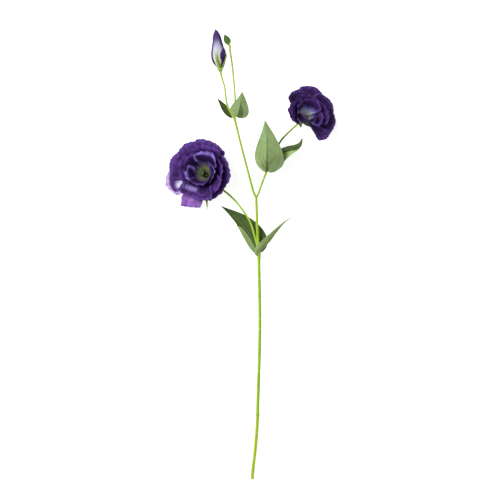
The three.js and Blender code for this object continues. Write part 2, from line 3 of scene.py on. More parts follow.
import bpy
import numpy as np
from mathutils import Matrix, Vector


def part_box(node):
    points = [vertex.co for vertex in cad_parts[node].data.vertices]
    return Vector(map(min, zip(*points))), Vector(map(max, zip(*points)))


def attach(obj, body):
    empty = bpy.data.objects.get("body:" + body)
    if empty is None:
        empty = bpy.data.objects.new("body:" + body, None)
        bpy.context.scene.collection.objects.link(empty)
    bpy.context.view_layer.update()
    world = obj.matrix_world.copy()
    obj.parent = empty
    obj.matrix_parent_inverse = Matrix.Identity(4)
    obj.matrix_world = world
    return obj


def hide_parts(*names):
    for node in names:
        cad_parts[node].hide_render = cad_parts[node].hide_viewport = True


# A cut lisianthus stem lying on a table: open double blooms, a half-open bud, a small
# green bud and paired leaves. Lengths are in millimetres until a mesh is made of them.
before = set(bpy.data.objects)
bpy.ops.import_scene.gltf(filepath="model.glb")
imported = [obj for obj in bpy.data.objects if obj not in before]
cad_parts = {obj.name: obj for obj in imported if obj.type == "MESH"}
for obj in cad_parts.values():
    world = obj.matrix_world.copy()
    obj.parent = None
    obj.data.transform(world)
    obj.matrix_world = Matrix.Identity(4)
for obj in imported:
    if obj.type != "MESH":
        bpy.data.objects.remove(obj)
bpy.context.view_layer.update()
mm = 0.001
print("packed flower loaded")


def tint(*levels):  # a colour as three levels from 0 to 255, made linear
    shares = [level / 255 for level in levels]
    return (*(share / 12.92 if share < 0.04 else ((share + 0.055) / 1.055) ** 2.4 for share in shares), 1.0)


def palette(**colours):
    return {name: tint(*colour) for name, colour in colours.items()}


# vectors and curves

def vec(*numbers):
    return np.array(numbers, float)


def unit(vectors):
    return vectors / np.maximum(np.linalg.norm(vectors, axis=-1, keepdims=True), 1e-9)


def smoothStep(value, low, high):
    share = np.clip((value - low) / (high - low), 0, 1)
    return share * share * (3 - 2 * share)


def pathThrough(points):  # a smooth path, asked for points by share of its length
    knots = np.array(points, float)
    knots = np.vstack([2 * knots[0] - knots[1], knots, 2 * knots[-1] - knots[-2]])
    s = np.linspace(0, 1, 24, endpoint=False)[:, None]
    parts = []
    for a, b, c, d in zip(knots, knots[1:], knots[2:], knots[3:]):
        p, q, r = (max(np.linalg.norm(far - near) ** 0.5, 1e-4) for near, far in ((a, b), (b, c), (c, d)))
        leave = ((b - a) / p - (c - a) / (p + q) + (c - b) / q) * q
        arrive = ((c - b) / q - (d - b) / (q + r) + (d - c) / r) * q
        parts.append((2 * s**3 - 3 * s**2 + 1) * b + (s**3 - 2 * s**2 + s) * leave
                     + (3 * s**2 - 2 * s**3) * c + (s**3 - s**2) * arrive)
    line = np.vstack([*parts, knots[-2:-1]])
    run = np.concatenate([[0], np.cumsum(np.linalg.norm(np.diff(line, axis=0), axis=1))])

    def at(share):
        place = np.clip(share, 0, 1) * run[-1]
        return np.stack([np.interp(place, run, line[:, k]) for k in range(3)], -1)
    return at, run[-1]


def directionAt(at, share):
    step = 0.004
    return unit(at(share + step) - at(share - step))


def bezier(points, t):
    n = len(points) - 1
    t = np.asarray(t)[..., None]
    return sum(math.comb(n, k) * (1 - t) ** (n - k) * t**k * p for k, p in enumerate(points))


def bezierDirection(points, t):
    return unit(bezier([b - a for a, b in zip(points, points[1:])], t))


def jaggedAt(place, seed):  # one random height for each whole number, joined by straight lines
    count = 400
    heights = np.random.default_rng(seed).uniform(-1, 1, count)
    low = np.floor(place).astype(int)
    return heights[low % count] * (1 - (place - low)) + heights[(low + 1) % count] * (place - low)


def gridOf(rows, columns):  # shares along (0 to 1) and across (-1 to 1)
    return np.meshgrid(rows, np.linspace(-1, 1, columns), indexing="ij")


# meshes

def addValues(mesh, values):  # one number for each point under each name
    for key, numbers in values.items():
        numbers = np.array(np.broadcast_to(numbers, len(mesh.vertices)), np.float32)
        mesh.attributes.new(key, "FLOAT", "POINT").data.foreach_set("value", numbers)


def coordsOf(mesh):
    coords = np.empty(len(mesh.vertices) * 3, np.float32)
    mesh.vertices.foreach_get("co", coords)
    return coords.reshape(-1, 3)


def meshOf(name, points, faces, values, uv=None):
    mesh = bpy.data.meshes.new(name)
    points = np.array(points, float)
    points[:, 2] = np.maximum(points[:, 2], 0)  # nothing sinks into the table
    mesh.from_pydata((points * mm).tolist(), [], [list(map(int, face)) for face in faces])
    addValues(mesh, values)
    if uv is not None:
        corners = np.empty(len(mesh.loops), int)
        mesh.loops.foreach_get("vertex_index", corners)
        layer = mesh.uv_layers.new(name="UVMap")
        layer.data.foreach_set("uv", np.asarray(uv, np.float32)[corners].ravel())
    mesh.polygons.foreach_set("use_smooth", [True] * len(mesh.polygons))
    mesh.update()
    return mesh


def sheetParts(points, thickness, values, uv):
    # A closed sheet on a grid of points [row, column]: its face, its back and its rim.
    # The face is on the side of (along the columns) x (along the rows).
    normal = unit(np.cross(np.gradient(points, axis=1), np.gradient(points, axis=0))) * thickness / 2
    rows, columns = points.shape[:2]
    count = rows * columns
    index = np.arange(count).reshape(rows, columns)
    corners = [index[:-1, :-1], index[:-1, 1:], index[1:, 1:], index[1:, :-1]]
    face = np.stack(corners, -1).reshape(-1, 4)
    loop = np.concatenate([index[0, :], index[1:, -1], index[-1, -2::-1], index[-2:0:-1, 0]])
    after = np.roll(loop, -1)
    rim = np.stack([loop, loop + count, after + count, after], -1)
    verts = np.concatenate([(points + normal).reshape(-1, 3), (points - normal).reshape(-1, 3)])
    doubled = {key: np.tile(value.ravel(), 2) for key, value in values.items()}
    doubled["behind"] = np.repeat([0.0, 1.0], count)
    faces = np.concatenate([face, face[:, ::-1] + count, rim])
    return verts, faces, doubled, np.tile(uv.reshape(-1, 2), (2, 1))


def joined(parts):  # several (points, faces, values, uv) as one
    starts = np.cumsum([0, *(len(part[0]) for part in parts)])
    values = {key: np.concatenate([part[2][key] for part in parts]) for key in parts[0][2]}
    return (np.concatenate([part[0] for part in parts]),
            np.concatenate([part[1] + start for part, start in zip(parts, starts)]),
            values, np.concatenate([part[3] for part in parts]))


def settle(name, mesh, material, node):  # puts a finished mesh in the scene in place of its node
    piece = bpy.data.objects.new(name, mesh)
    bpy.context.scene.collection.objects.link(piece)
    if material is not None:
        mesh.materials.clear()
        mesh.materials.append(material)
    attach(piece, "root")
    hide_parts(node)
    low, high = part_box(node)
    coords = coordsOf(mesh)
    past = max(0, (np.array(low) - coords.min(0)).max(), (coords.max(0) - np.array(high)).max())
    print(f"{name}: {len(mesh.polygons)} faces, {past / mm:.1f} mm past {node}")


# node helpers

def makeNode(tree, kind, inputs=None, **fields):  # gives the new node's outputs
    node = tree.nodes.new(kind)
    for name, value in fields.items():
        setattr(node, name, value)
    for key, value in (inputs or {}).items():
        if isinstance(value, bpy.types.NodeSocket):
            tree.links.new(value, node.inputs[key])
        else:
            node.inputs[key].default_value = value
    return node.outputs


def newGroup(kind, name, inputs, outputs):  # a node group with named sockets
    group = bpy.data.node_groups.new(name, f"{kind}NodeTree")
    for way, sockets in (("INPUT", inputs), ("OUTPUT", outputs)):
        for title, socketKind in sockets.items():
            group.interface.new_socket(title, in_out=way, socket_type=f"NodeSocket{socketKind}")
    return group, group.nodes.new("NodeGroupInput").outputs, group.nodes.new("NodeGroupOutput").inputs


def placeGroup(tree, group, inputs):
    return makeNode(tree, "ShaderNodeGroup", inputs, node_tree=group)


def maths(tree, operation, first, second=0.0):
    return makeNode(tree, "ShaderNodeMath", {0: first, 1: second}, operation=operation)[0]


def times(tree, first, second):
    return maths(tree, "MULTIPLY", first, second)


def mixed(tree, share, first, second, blend="MIX"):
    inputs = {0: share, 6: first, 7: second}
    return makeNode(tree, "ShaderNodeMix", inputs, data_type="RGBA", blend_type=blend)[2]


def scaled(tree, colour, amount):  # a colour made lighter or darker
    grey = makeNode(tree, "ShaderNodeCombineColor", {0: amount, 1: amount, 2: amount})[0]
    return mixed(tree, 1.0, colour, grey, "MULTIPLY")


def ranged(tree, value, low, high, toLow=0.0, toHigh=1.0, smooth=True):
    kind = "SMOOTHSTEP" if smooth else "LINEAR"
    inputs = {"Value": value, "From Min": low, "From Max": high, "To Min": toLow, "To Max": toHigh}
    return makeNode(tree, "ShaderNodeMapRange", inputs, interpolation_type=kind)["Result"]


def ramp(tree, share, colours, **stops):  # from one named colour to the next, each at its own place
    result = makeNode(tree, "ShaderNodeValToRGB", {"Fac": share})["Color"]
    elements = result.node.color_ramp.elements
    while len(elements) < len(stops):
        elements.new(0.5)
    for element, (name, place) in zip(elements, stops.items()):
        element.position = place
        element.color = colours[name]
    return result


def attribute(tree, name):
    return makeNode(tree, "ShaderNodeAttribute", attribute_name=name)["Fac"]


def ownPlace(tree):
    return makeNode(tree, "ShaderNodeTexCoord")["Object"]


def clothPlace(tree):  # a place on a flat petal or leaf
    return makeNode(tree, "ShaderNodeUVMap", uv_map="UVMap")["UV"]


def noise(tree, place, scale, detail, roughness):
    inputs = {"Vector": place, "Scale": scale, "Detail": detail, "Roughness": roughness}
    return makeNode(tree, "ShaderNodeTexNoise", inputs)["Fac"]


def makeFibres():  # fine streaks that run along a petal or a leaf, and the height they stand up by
    group, given, result = newGroup(
        "Shader", "fibres", {"Vector": "Vector", "Across": "Float", "Along": "Float", "Seed": "Float"},
        {"Streak": "Float", "Thread": "Float"})
    inputs = {"X": given["Across"], "Y": given["Along"], "Z": 1.0}
    stretch = makeNode(group, "ShaderNodeCombineXYZ", inputs)[0]
    place = given["Vector"]
    for operation, amount in (("MULTIPLY", stretch), ("ADD", given["Seed"])):
        place = makeNode(group, "ShaderNodeVectorMath", {0: place, 1: amount}, operation=operation)[0]
    group.links.new(noise(group, place, 1.0, 3.0, 0.6), result["Streak"])
    group.links.new(noise(group, place, 3.4, 2.0, 0.5), result["Thread"])
    return group


def makeMottle():  # soft uneven colour and a fine grain, from the object's own coordinates
    group, given, result = newGroup("Shader", "mottle", {"Size": "Float", "Grain": "Float"},
                                    {"Cloud": "Float", "Grain": "Float"})
    group.links.new(noise(group, ownPlace(group), given["Size"], 4.0, 0.55), result["Cloud"])
    group.links.new(noise(group, ownPlace(group), given["Grain"], 2.0, 0.6), result["Grain"])
    return group


fibres = makeFibres()
mottle = makeMottle()


def fibresOn(tree, place, across, along, seed):
    return placeGroup(tree, fibres, {"Vector": place, "Across": across, "Along": along, "Seed": seed})


def mottleOn(tree, size, grain):
    return placeGroup(tree, mottle, {"Size": size, "Grain": grain})


def newMaterial(name, roughness, specular=0.3, sheen=0.0, sheenTint=(1, 1, 1, 1)):
    material = bpy.data.materials.new(name)
    material.use_nodes = True
    shader = material.node_tree.nodes["Principled BSDF"]
    for title, value in (("Roughness", roughness), ("Specular IOR Level", specular), ("Sheen Weight", sheen),
                         ("Sheen Roughness", 0.45), ("Sheen Tint", sheenTint)):
        shader.inputs[title].default_value = value
    return material, material.node_tree, shader


def finishSurface(tree, shader, colour, height, strength, distance=0.0003):
    tree.links.new(colour, shader.inputs["Base Color"])
    bump = makeNode(tree, "ShaderNodeBump", {"Height": height, "Strength": strength, "Distance": distance})
    tree.links.new(bump["Normal"], shader.inputs["Normal"])


# petals' finish

# besides the petals' own colours: light and the night violet paint light and shade on whole petals, lit and
# shine paint highlights on edges, and the rim and crest colours are partly painted highlights
petalColours = palette(
    moss=(58, 72, 34), throat=(128, 138, 88), olive=(104, 106, 88), dusk=(84, 70, 118), dawn=(190, 200, 120),
    blush=(222, 228, 216), milk=(226, 230, 250), haze=(118, 108, 198), deep=(48, 23, 80), body=(76, 40, 118),
    rim=(102, 62, 156), edge=(36, 20, 62), back=(90, 52, 142), rimGlow=(118, 78, 172), crest=(150, 132, 200),
    spot=(222, 220, 238), stain=(150, 164, 62), shine=(222, 186, 246), light=(192, 136, 232),
    lit=(150, 124, 218), night=(34, 14, 60))
budColours = {**petalColours, **palette(
    dawn=(156, 170, 84), blush=(224, 226, 212), milk=(230, 230, 228), haze=(190, 190, 220),
    deep=(72, 48, 106), body=(80, 52, 116), rim=(60, 38, 84), rimGlow=(82, 54, 118), back=(78, 50, 116),
    stain=(210, 216, 160))}


def petalFinish(name, colours, margin=0.0):  # margin: how much sooner the edges turn violet than the middle
    material, tree, shader = newMaterial(
        name, roughness=0.62, specular=0.16, sheen=0.09, sheenTint=tint(190, 150, 240))
    along, behind, tone, pale, rim, lit, milky = (
        attribute(tree, key) for key in ("along", "behind", "tone", "pale", "rim", "lit", "milky"))
    streaks = fibresOn(tree, clothPlace(tree), across=95.0, along=7.0, seed=3.0)
    streak, thread = streaks["Streak"], streaks["Thread"]
    spots = mottleOn(tree, size=160.0, grain=1300.0)

    # the foot, feathered along the streaks: on milky petals pale, lightened as painted light against the
    # shade of the petals round it, and on the others a dull throat darkened by painted shade
    reach = maths(tree, "ADD", along, ranged(tree, streak, 0.3, 0.7, -0.085, 0.085, smooth=False))
    if margin:
        sideways = maths(tree, "POWER", maths(tree, "ABSOLUTE", attribute(tree, "across")), 3.0)
        reach = maths(tree, "ADD", reach, times(tree, sideways, margin))
    reach = maths(tree, "DIVIDE", reach, pale)
    bright = ramp(tree, reach, colours, dawn=0.12, blush=0.26, milk=0.42, haze=0.74, body=1.0)
    dull = ramp(tree, reach, colours, moss=0.0, throat=0.24, olive=0.48, dusk=0.7, deep=1.0)
    foot = mixed(tree, milky, dull, bright)

    # the violet of the blade, darker towards the foot as painted shade where the petals overlap, its back and
    # its rim
    violet = ramp(tree, along, colours, night=0.45, deep=0.66, body=0.84, rim=1.0)
    violet = mixed(tree, times(tree, behind, 0.6), violet, colours["back"])
    # painted light and painted shade on the whole petal: lighter petals where the light falls, darker ones in
    # shade
    violet = mixed(tree, ranged(tree, tone, 0.0, 1.0, smooth=False), violet, colours["light"])
    violet = mixed(tree, ranged(tree, tone, 0.0, -1.0, smooth=False), violet, colours["night"])
    # a lighter violet near the rim, partly the petal's own colour and partly a painted highlight
    glow = times(tree, ranged(tree, rim, 5.5, 0.8), ranged(tree, streak, 0.32, 0.62, 0.15, 0.75))
    violet = mixed(tree, glow, violet, colours["rimGlow"])
    # a painted highlight on the edges that catch the light, pinker on some petals
    edgeLight = mixed(tree, attribute(tree, "pink"), colours["lit"], colours["shine"])
    violet = mixed(tree, times(tree, lit, ranged(tree, rim, 6.5, 1.0)), violet, edgeLight)
    shade = times(tree, ranged(tree, spots["Cloud"], 0.3, 0.7, 0.6, 1.3, smooth=False),
                  ranged(tree, thread, 0.3, 0.7, 0.7, 1.25, smooth=False))
    colour = mixed(tree, ranged(tree, reach, 0.8, 1.05), foot, scaled(tree, violet, shade))

    # a pale patch that is partly the petal's own pale colour and partly a painted highlight along a curled
    # crest, yellow edges low down and a dark hem
    crest = times(tree, attribute(tree, "crest"), ranged(tree, streak, 0.3, 0.6, 0.6, 1.1))
    paleness = ramp(tree, crest, colours, rimGlow=0.0, crest=0.5, spot=1.0)
    colour = mixed(tree, ranged(tree, crest, 0.05, 0.6), colour, paleness)
    stain = times(tree, ranged(tree, rim, 1.8, 0.5), ranged(tree, along, 0.5, 0.3))
    colour = mixed(tree, times(tree, stain, milky), colour, colours["stain"])
    hem = times(tree, ranged(tree, rim, 0.9, 0.15), 0.75)
    colour = mixed(tree, hem, colour, colours["edge"])
    height = maths(tree, "ADD", thread, times(tree, spots["Grain"], 0.5))
    finishSurface(tree, shader, colour, height, strength=0.45)
    return material


petalSkin = petalFinish("petalViolet", petalColours)
budSkin = petalFinish("budPetal", budColours, margin=0.9)


# flowers: where each sits, which way it faces and the radius of its tube

leftBloom = {"seat": vec(-59.1, 107.5, 8.6), "axis": unit(vec(-0.24, 0.10, 0.966)), "tube": 4.2}
rightBloom = {"seat": vec(66.4, 178.5, 11.6), "axis": unit(vec(0.383, 0.321, 0.866)), "tube": 4.2}
purpleBud = {"seat": vec(-39.5, 241.5, 38), "axis": unit(vec(-0.105, 0.99, 0.09)), "tube": 3.2}
greenBud = {"seat": vec(-28.3, 278, 37.6), "axis": unit(vec(-0.42, 0.9, 0.1))}
calyxDepth = 5  # from the seat up to the calyx's rim
corollaFloor = 1.6  # and from there to the floor of the petals' tube


def headingAt(flower, outward, degrees):
    return flower["axis"] * math.cos(math.radians(degrees)) + outward * math.sin(math.radians(degrees))


def outwardAt(flower, turn):  # one direction or a grid of them, square to the axis
    across = unit(np.cross(flower["axis"], vec(0, 0, 1)))
    turn = np.radians(turn)[..., None]
    return across * np.cos(turn) + np.cross(flower["axis"], across) * np.sin(turn)


def turnedMesh(name, flower, profile, sides, ridges=0.0, ridgeCount=5):
    # a closed skin turned round the flower's axis, from (radius, height) pairs that start and end on it
    outline = np.array(profile, float)
    radii, heights = outline[1:-1].T
    turns = np.linspace(0, 360, sides, endpoint=False)
    swell = (1 + ridges * np.cos(np.radians(turns) * ridgeCount))[None, :, None]
    rings = (flower["seat"] + flower["axis"] * heights[:, None, None]
             + outwardAt(flower, turns) * radii[:, None, None] * swell)
    ends = [flower["seat"] + flower["axis"] * outline[k, 1] for k in (0, -1)]
    first, top = rings.shape[0] * sides, (rings.shape[0] - 1) * sides
    faces = []
    for a in range(sides):
        b = (a + 1) % sides
        faces += [(a + low, b + low, b + low + sides, a + low + sides) for low in range(0, top, sides)]
        faces += [(first, b, a), (first + 1, top + a, top + b)]
    height = np.concatenate([np.repeat(heights, sides), outline[[0, -1], 1]])
    along = (height - outline[:, 1].min()) / np.ptp(outline[:, 1])
    return meshOf(name, np.vstack([rings.reshape(-1, 3), *ends]), faces, {"along": along})


# a petal is a sheet on a curved spine, curled round the flower's axis

petalMake = {"columns": 56, "rows": 40, "crowding": 1.25, "thickness": 0.32, "clawRadius": 2.6, "pull": 0.42,
             "widest": 0.78, "tooth": 1.25, "fray": 0.55, "waves": 5.2, "sideRim": 0.75, "frillLength": 1.35}
# the pale crest, partly the petal's own pale colour and partly a painted highlight: where along, how tall,
# how strong, where across and how wide
# each petal's tone paints light on it above 0 and shade below 0, and lit paints a highlight on its edges
petalLook = {"cup": 0.4, "lean": 0.1, "phase": 0, "ruffle": 1.9, "round": 0.19, "taper": 0, "skew": 0,
             "slender": 1.35, "roll": 3, "rollFrom": 0.7, "frill": 0.7, "tone": 0, "pale": 0.3, "lit": 0,
             "pink": 0, "milky": 0, "crest": (0.6, 0.1, 0, 0, 1)}


def petal(tip, width, leave, finish, **more):  # tip: from the seat, with its height up the axis
    return {**petalLook, "tip": tip, "width": width, "leave": leave, "finish": finish, **more}


def petalOutline(t, slender):
    widest = petalMake["widest"]
    widening = np.sin(math.pi / 2 * np.clip(t / widest, 0, 1)) ** slender
    return (0.09 + 0.91 * widening) * (1 - 0.16 * np.maximum(0, (t - widest) / (1 - widest)) ** 2)


def petalParts(flower, look, seed):
    seat, axis = flower["seat"], flower["axis"]
    x, y, height = look["tip"]
    tip = vec(x, y, (height - x * axis[0] - y * axis[1]) / axis[2])
    outward = unit(tip - axis * height)
    side = np.cross(axis, outward)
    start = seat + axis * (calyxDepth + corollaFloor / 2) + outward * petalMake["clawRadius"]
    end = seat + tip
    pull = np.linalg.norm(end - start) * petalMake["pull"]
    spine = [start, start + headingAt(flower, outward, look["leave"]) * pull,
             end - headingAt(flower, outward, look["finish"]) * pull, end]
    length = np.linalg.norm(np.diff(bezier(spine, np.linspace(0, 1, 60)), axis=0), axis=1).sum()
    rows = 1 - (1 - np.linspace(0, 1, petalMake["rows"])) ** petalMake["crowding"]  # closer near the tip
    v, u = gridOf(rows, petalMake["columns"])
    halfWidth, phase = look["width"] / 2, look["phase"]
    tooth, fray = petalMake["tooth"], petalMake["fray"]

    # frayed edges
    topFray = fray * jaggedAt((u + 1) * halfWidth / tooth, seed) * smoothStep(v, 0.86, 1)
    sideFray = fray * jaggedAt(v * length / tooth + 50 * (u > 0), seed + 1)
    t = v * (1 - look["round"] * np.abs(u) ** 2.4 + look["skew"] * u) + topFray / length
    outline = halfWidth * petalOutline(t, look["slender"]) * (1 - look["taper"] * t * t)
    reach = (outline + sideFray * np.abs(u) ** 8 * smoothStep(v, 0.15, 0.4)) * u

    # the curl, the ruffle and the rolled rim
    centre = bezier(spine, t)
    along = bezierDirection(spine, np.clip(t, 0, 1))
    inward = unit(np.cross(along, side))
    spoke = centre - seat
    radius = np.linalg.norm(spoke - (spoke @ axis)[..., None] * axis, axis=-1)
    bend = max(look["cup"], 0.02) / np.maximum(radius, 6)
    wave = np.sin(petalMake["waves"] * u + phase) * (0.35 + 0.65 * u * u) * np.clip(t, 0, 1) ** 2.5
    sideRim = petalMake["sideRim"] * smoothStep(np.abs(u), 0.72, 1) * smoothStep(t, 0.35, 0.7)
    rimShare = np.maximum(smoothStep(t, look["rollFrom"], 1), sideRim)
    frill = look["frill"] * np.sin(reach / petalMake["frillLength"] + t * 9 + phase * 2) * rimShare ** 2
    rolled = look["roll"] * rimShare ** 2
    lift = (1 - np.cos(bend * reach)) / bend + look["lean"] * reach * t
    lift = lift + look["ruffle"] * wave + frill - rolled
    points = (centre + side * (np.sin(bend * reach) / bend)[..., None] + inward * lift[..., None]
              - along * (0.35 * rolled * rimShare)[..., None])
    # what reaches the table lies flat on it
    points[..., 2] = np.maximum(points[..., 2], petalMake["thickness"])

    toRim = np.minimum((1 - v) * length, (1 - np.abs(u)) * outline + 2 * smoothStep(v, 0.5, 0.15))
    at, tall, strength, middle, wide = look["crest"]
    values = {"along": t, "across": u, "rim": toRim,
              "crest": strength * np.exp(-((t - at) / tall) ** 2 - ((u - middle) / wide) ** 2)}
    values.update({key: np.full_like(t, look[key]) for key in ("tone", "pale", "lit", "pink", "milky")})
    flat = np.stack([u * halfWidth * 0.01 * (0.25 + 0.75 * t) + seed * 0.37, t * length * 0.01], -1)
    mirrored = {key: value[:, ::-1] for key, value in values.items()}
    return sheetParts(points[:, ::-1], petalMake["thickness"], mirrored, flat[:, ::-1])


def corolla(title, flower, whorls, node, skin, seed):
    for whorl, petals in whorls.items():
        parts = [petalParts(flower, look, seed + 7 * k) for k, look in enumerate(petals)]
        seed += 7 * len(petals)
        settle(f"{title}_{whorl}", meshOf(f"{title}_{whorl}", *joined(parts)), skin, node)
    # the short tube that the claws grow from
    low, high, radius = calyxDepth, calyxDepth + corollaFloor, flower["tube"]
    profile = [(0, low), (radius * 0.85, low), (radius, low + 1.2), (radius, high + 1),
               (radius * 0.85, high + 1.5), (radius * 0.7, high + 1.3), (radius * 0.45, high), (0, high)]
    tube = turnedMesh(f"{title}_tube", flower, profile, 32)
    addValues(tube, {"rim": 9.0, "pale": 3.0})
    tube.uv_layers.new(name="UVMap")
    settle(f"{title}_tube", tube, skin, node)


leftPetals = {
    "outer_petals": [
        petal((5, 44, 20), 46, 74, 56, lean=0.08, phase=0.4, round=0.12, skew=0.1, roll=3.5, tone=-0.3),
        petal((30, 6, 21), 46, 74, 54, phase=1.2, roll=3.5, tone=-0.35),
        petal((15, -28.5, 18), 42, 74, 60, phase=2.2, tone=-0.2),
        petal((-22.5, -43, 8), 30, 82, 112, cup=0.15, phase=0, round=0.02, skew=-0.08, tone=0.55, roll=0.3),
        petal((-55, -9.5, 9.8), 40, 74, 56, cup=0.55, lean=0.05, phase=3.1, lit=1.3, pink=1.0, tone=-0.3,
              roll=4.5, crest=(0.64, 0.13, 1.2, 0.3, 0.42)),
        petal((-49, 19, 13.6), 42, 74, 56, cup=0.35, phase=4.4, roll=3.5),
        petal((-31, 39, 19), 44, 74, 52, cup=0.35, lean=0.08, phase=5.2, roll=3.5),
    ],
    "middle_petals": [
        petal((-14, -34, 18), 50, 50, 118, cup=0.6, lean=0.06, phase=1, roll=2,
              crest=(0.63, 0.12, 0.62, -0.3, 0.68)),
        petal((-36, 2, 26), 44, 68, 30, cup=0.7, phase=2.5, roll=3.5, skew=-0.18),
        petal((-5, 38, 28), 52, 68, 32, cup=0.7, phase=3.6, roll=3.5),
        petal((-28, 27, 30), 40, 64, 28, cup=0.7, phase=5.6),
        petal((19, 11, 30), 46, 66, 28, cup=0.8, phase=4.1, tone=-0.3),
        petal((11, -26, 24), 42, 56, 95, cup=0.8, phase=5, roll=2, tone=-0.15,
              crest=(0.85, 0.08, 0.2, 0.2, 0.4)),
    ],
    "inner_petals": [
        petal((1, 26, 38), 42, 50, 12, cup=1.0, phase=0.5, lit=1.4, pale=0.5, roll=4.5, rollFrom=0.78),
        petal((-24, 22, 36), 36, 54, 12, cup=1.0, phase=3.3, pale=0.38, rollFrom=0.78),
        petal((-27, 2, 32), 25, 58, 20, cup=1.0, phase=1.5, lit=1.5, pale=0.44, roll=4, rollFrom=0.7),
        petal((-8, -13, 32), 40, 50, 8, cup=1.0, phase=2.6, pale=0.5, roll=2.5, rollFrom=0.78),
        petal((10, 3, 35), 34, 50, 6, cup=1.0, phase=4.2, lit=0.5, pale=0.4, roll=2, rollFrom=0.8),
    ],
}
rightPetals = {
    "outer_petals": [
        petal((23, 47, 18.8), 42, 72, 60, cup=0.35, lean=0.08, phase=0.3, ruffle=2.4, tone=-0.32),
        petal((-2, 43, 20), 34, 72, 58, lean=0.08, phase=1.1, ruffle=2.4, tone=-0.75),
        petal((-13, 20, 20), 32, 70, 52, cup=0.5, phase=2.0, tone=-0.7),
        petal((-10, 5, 21), 30, 66, 44, cup=0.6, phase=2.9, tone=-0.5, crest=(0.3, 0.3, 0.6, 1.0, 0.3)),
        petal((42, 30, 21), 38, 74, 64, cup=0.3, lean=0.05, phase=3.8, tone=-0.62),
        petal((48, 6, 19), 40, 72, 58, cup=0.35, lean=0.08, phase=4.6, tone=-0.75, slender=1.8),
        petal((41, -16, 7), 38, 76, 84, cup=0.5, lean=0.02, phase=5.5, round=0.3, tone=0.03, roll=2.5,
              slender=2),
    ],
    "inner_petals": [
        petal((11, 35, 28), 40, 66, 24, cup=0.8, phase=0.9, pale=0.4, milky=0.5, tone=-0.7),
        petal((36, 16, 28), 38, 68, 30, cup=0.6, phase=1.9, pale=0.4, tone=-0.5),
        petal((-5, 24, 30), 32, 62, 20, cup=0.9, phase=2.7, pale=0.4, tone=-0.4),
        petal((9.5, 3.6, 28), 34, 62, 4, cup=0.45, phase=3.5, pale=0.3, tone=-1.0, roll=1.5,
              crest=(0.36, 0.12, 0.8, -0.75, 0.4)),
        petal((30, 7, 26), 28, 64, 26, cup=0.7, phase=4.9, tone=-0.5, roll=2, slender=1.8, pale=0.62,
              milky=0.7),
        petal((18, 28, 35), 34, 56, 10, cup=0.9, phase=0.2, pale=0.66, milky=1.0, tone=-0.2, roll=2),
        petal((0, 22, 34), 24, 56, 10, cup=1.0, phase=2.2, pale=0.5, milky=1.0, roll=2),
    ],
}
budLook = {"cup": 1, "lean": 0.06, "ruffle": 0.4, "taper": 0.6, "slender": 0.8, "roll": 0.2, "frill": 0.25,
           "pale": 0.85, "milky": 1}


def budPetal(*place, **more):  # one of the bud's petals, which are rolled round each other
    return petal(*place, **{**budLook, **more})


budPetals = {"petals": [
    budPetal((-5, 52, 51.9), 21, 44, -6, phase=3, tone=-0.2),
    budPetal((-9, 50, 50.7), 23, 50, -8, phase=2, pale=0.6),
    budPetal((-1, 48, 47.8), 21, 40, -6, phase=4, pale=0.6),
    budPetal((-6, 55, 55.8), 30, 38, -8, ruffle=0.3, slender=0.5, taper=0.68),
    budPetal((4.5, 30, 30), 15, 41, -4, phase=1, taper=0.1, pale=0.3, tone=-0.3),
]}

corolla("left", leftBloom, leftPetals, "bloom_left_petals", petalSkin, 11)
corolla("right", rightBloom, rightPetals, "bloom_right_petals", petalSkin, 11)
print("open blooms' petals made")
corolla("bud", purpleBud, budPetals, "bud_purple_petals", budSkin, 301)
print("half-open bud's petals made")


# green finishes

stemColours = palette(cutEnd=(190, 224, 52), old=(168, 206, 42), young=(182, 210, 72), streak=(138, 176, 32),
                      scar=(208, 222, 140), cut=(176, 190, 112), dusk=(96, 128, 18))
leafColours = palette(dark=(76, 98, 42), darkSpot=(60, 82, 32), darkVein=(112, 134, 66),
                      pale=(159, 184, 124), paleSpot=(140, 168, 106), paleVein=(132, 150, 74))
# the sepals' light tips are partly their own lime colour and partly painted light against the shade of the
# bloom over them
calyxColours = palette(foot=(156, 186, 70), body=(144, 174, 68), tip=(212, 226, 116), spot=(170, 192, 96))
# the pistil's dark greens are partly its own colour and partly painted shade deep in the flower
heartColours = palette(ovary=(44, 62, 34), stigma=(58, 78, 42), filament=(120, 134, 74),
                       anther=(164, 156, 78))
closedColours = palette(foot=(150, 182, 66), low=(90, 120, 42), high=(68, 96, 34), tip=(142, 164, 66),
                        spot=(112, 146, 58))


def stemFinish():
    material, tree, shader = newMaterial("stemGreen", roughness=0.42, specular=0.4)
    place, colours = ownPlace(tree), stemColours
    height = makeNode(tree, "ShaderNodeSeparateXYZ", {0: place})["Y"]
    lines = fibresOn(tree, place, across=900.0, along=26.0, seed=1.0)
    spots = mottleOn(tree, size=120.0, grain=1500.0)
    colour = mixed(tree, ranged(tree, height, -0.16, -0.28), colours["old"], colours["cutEnd"])
    # one of these is painted shade that darkens the lower half of the right bloom's stalk
    for share, name in (
            (ranged(tree, height, 0.10, 0.22), "young"),
            (ranged(tree, lines["Streak"], 0.42, 0.75, 0.0, 0.6), "streak"),
            (ranged(tree, spots["Cloud"], 0.5, 0.8, 0.0, 0.35), "scar"), (attribute(tree, "dusk"), "dusk"),
            (attribute(tree, "scar"), "scar"), (ranged(tree, height, -0.3, -0.3002), "cut")):
        colour = mixed(tree, share, colour, colours[name])
    relief = maths(tree, "ADD", lines["Thread"], times(tree, spots["Grain"], 0.3))
    finishSurface(tree, shader, colour, relief, strength=0.3, distance=0.0002)
    return material


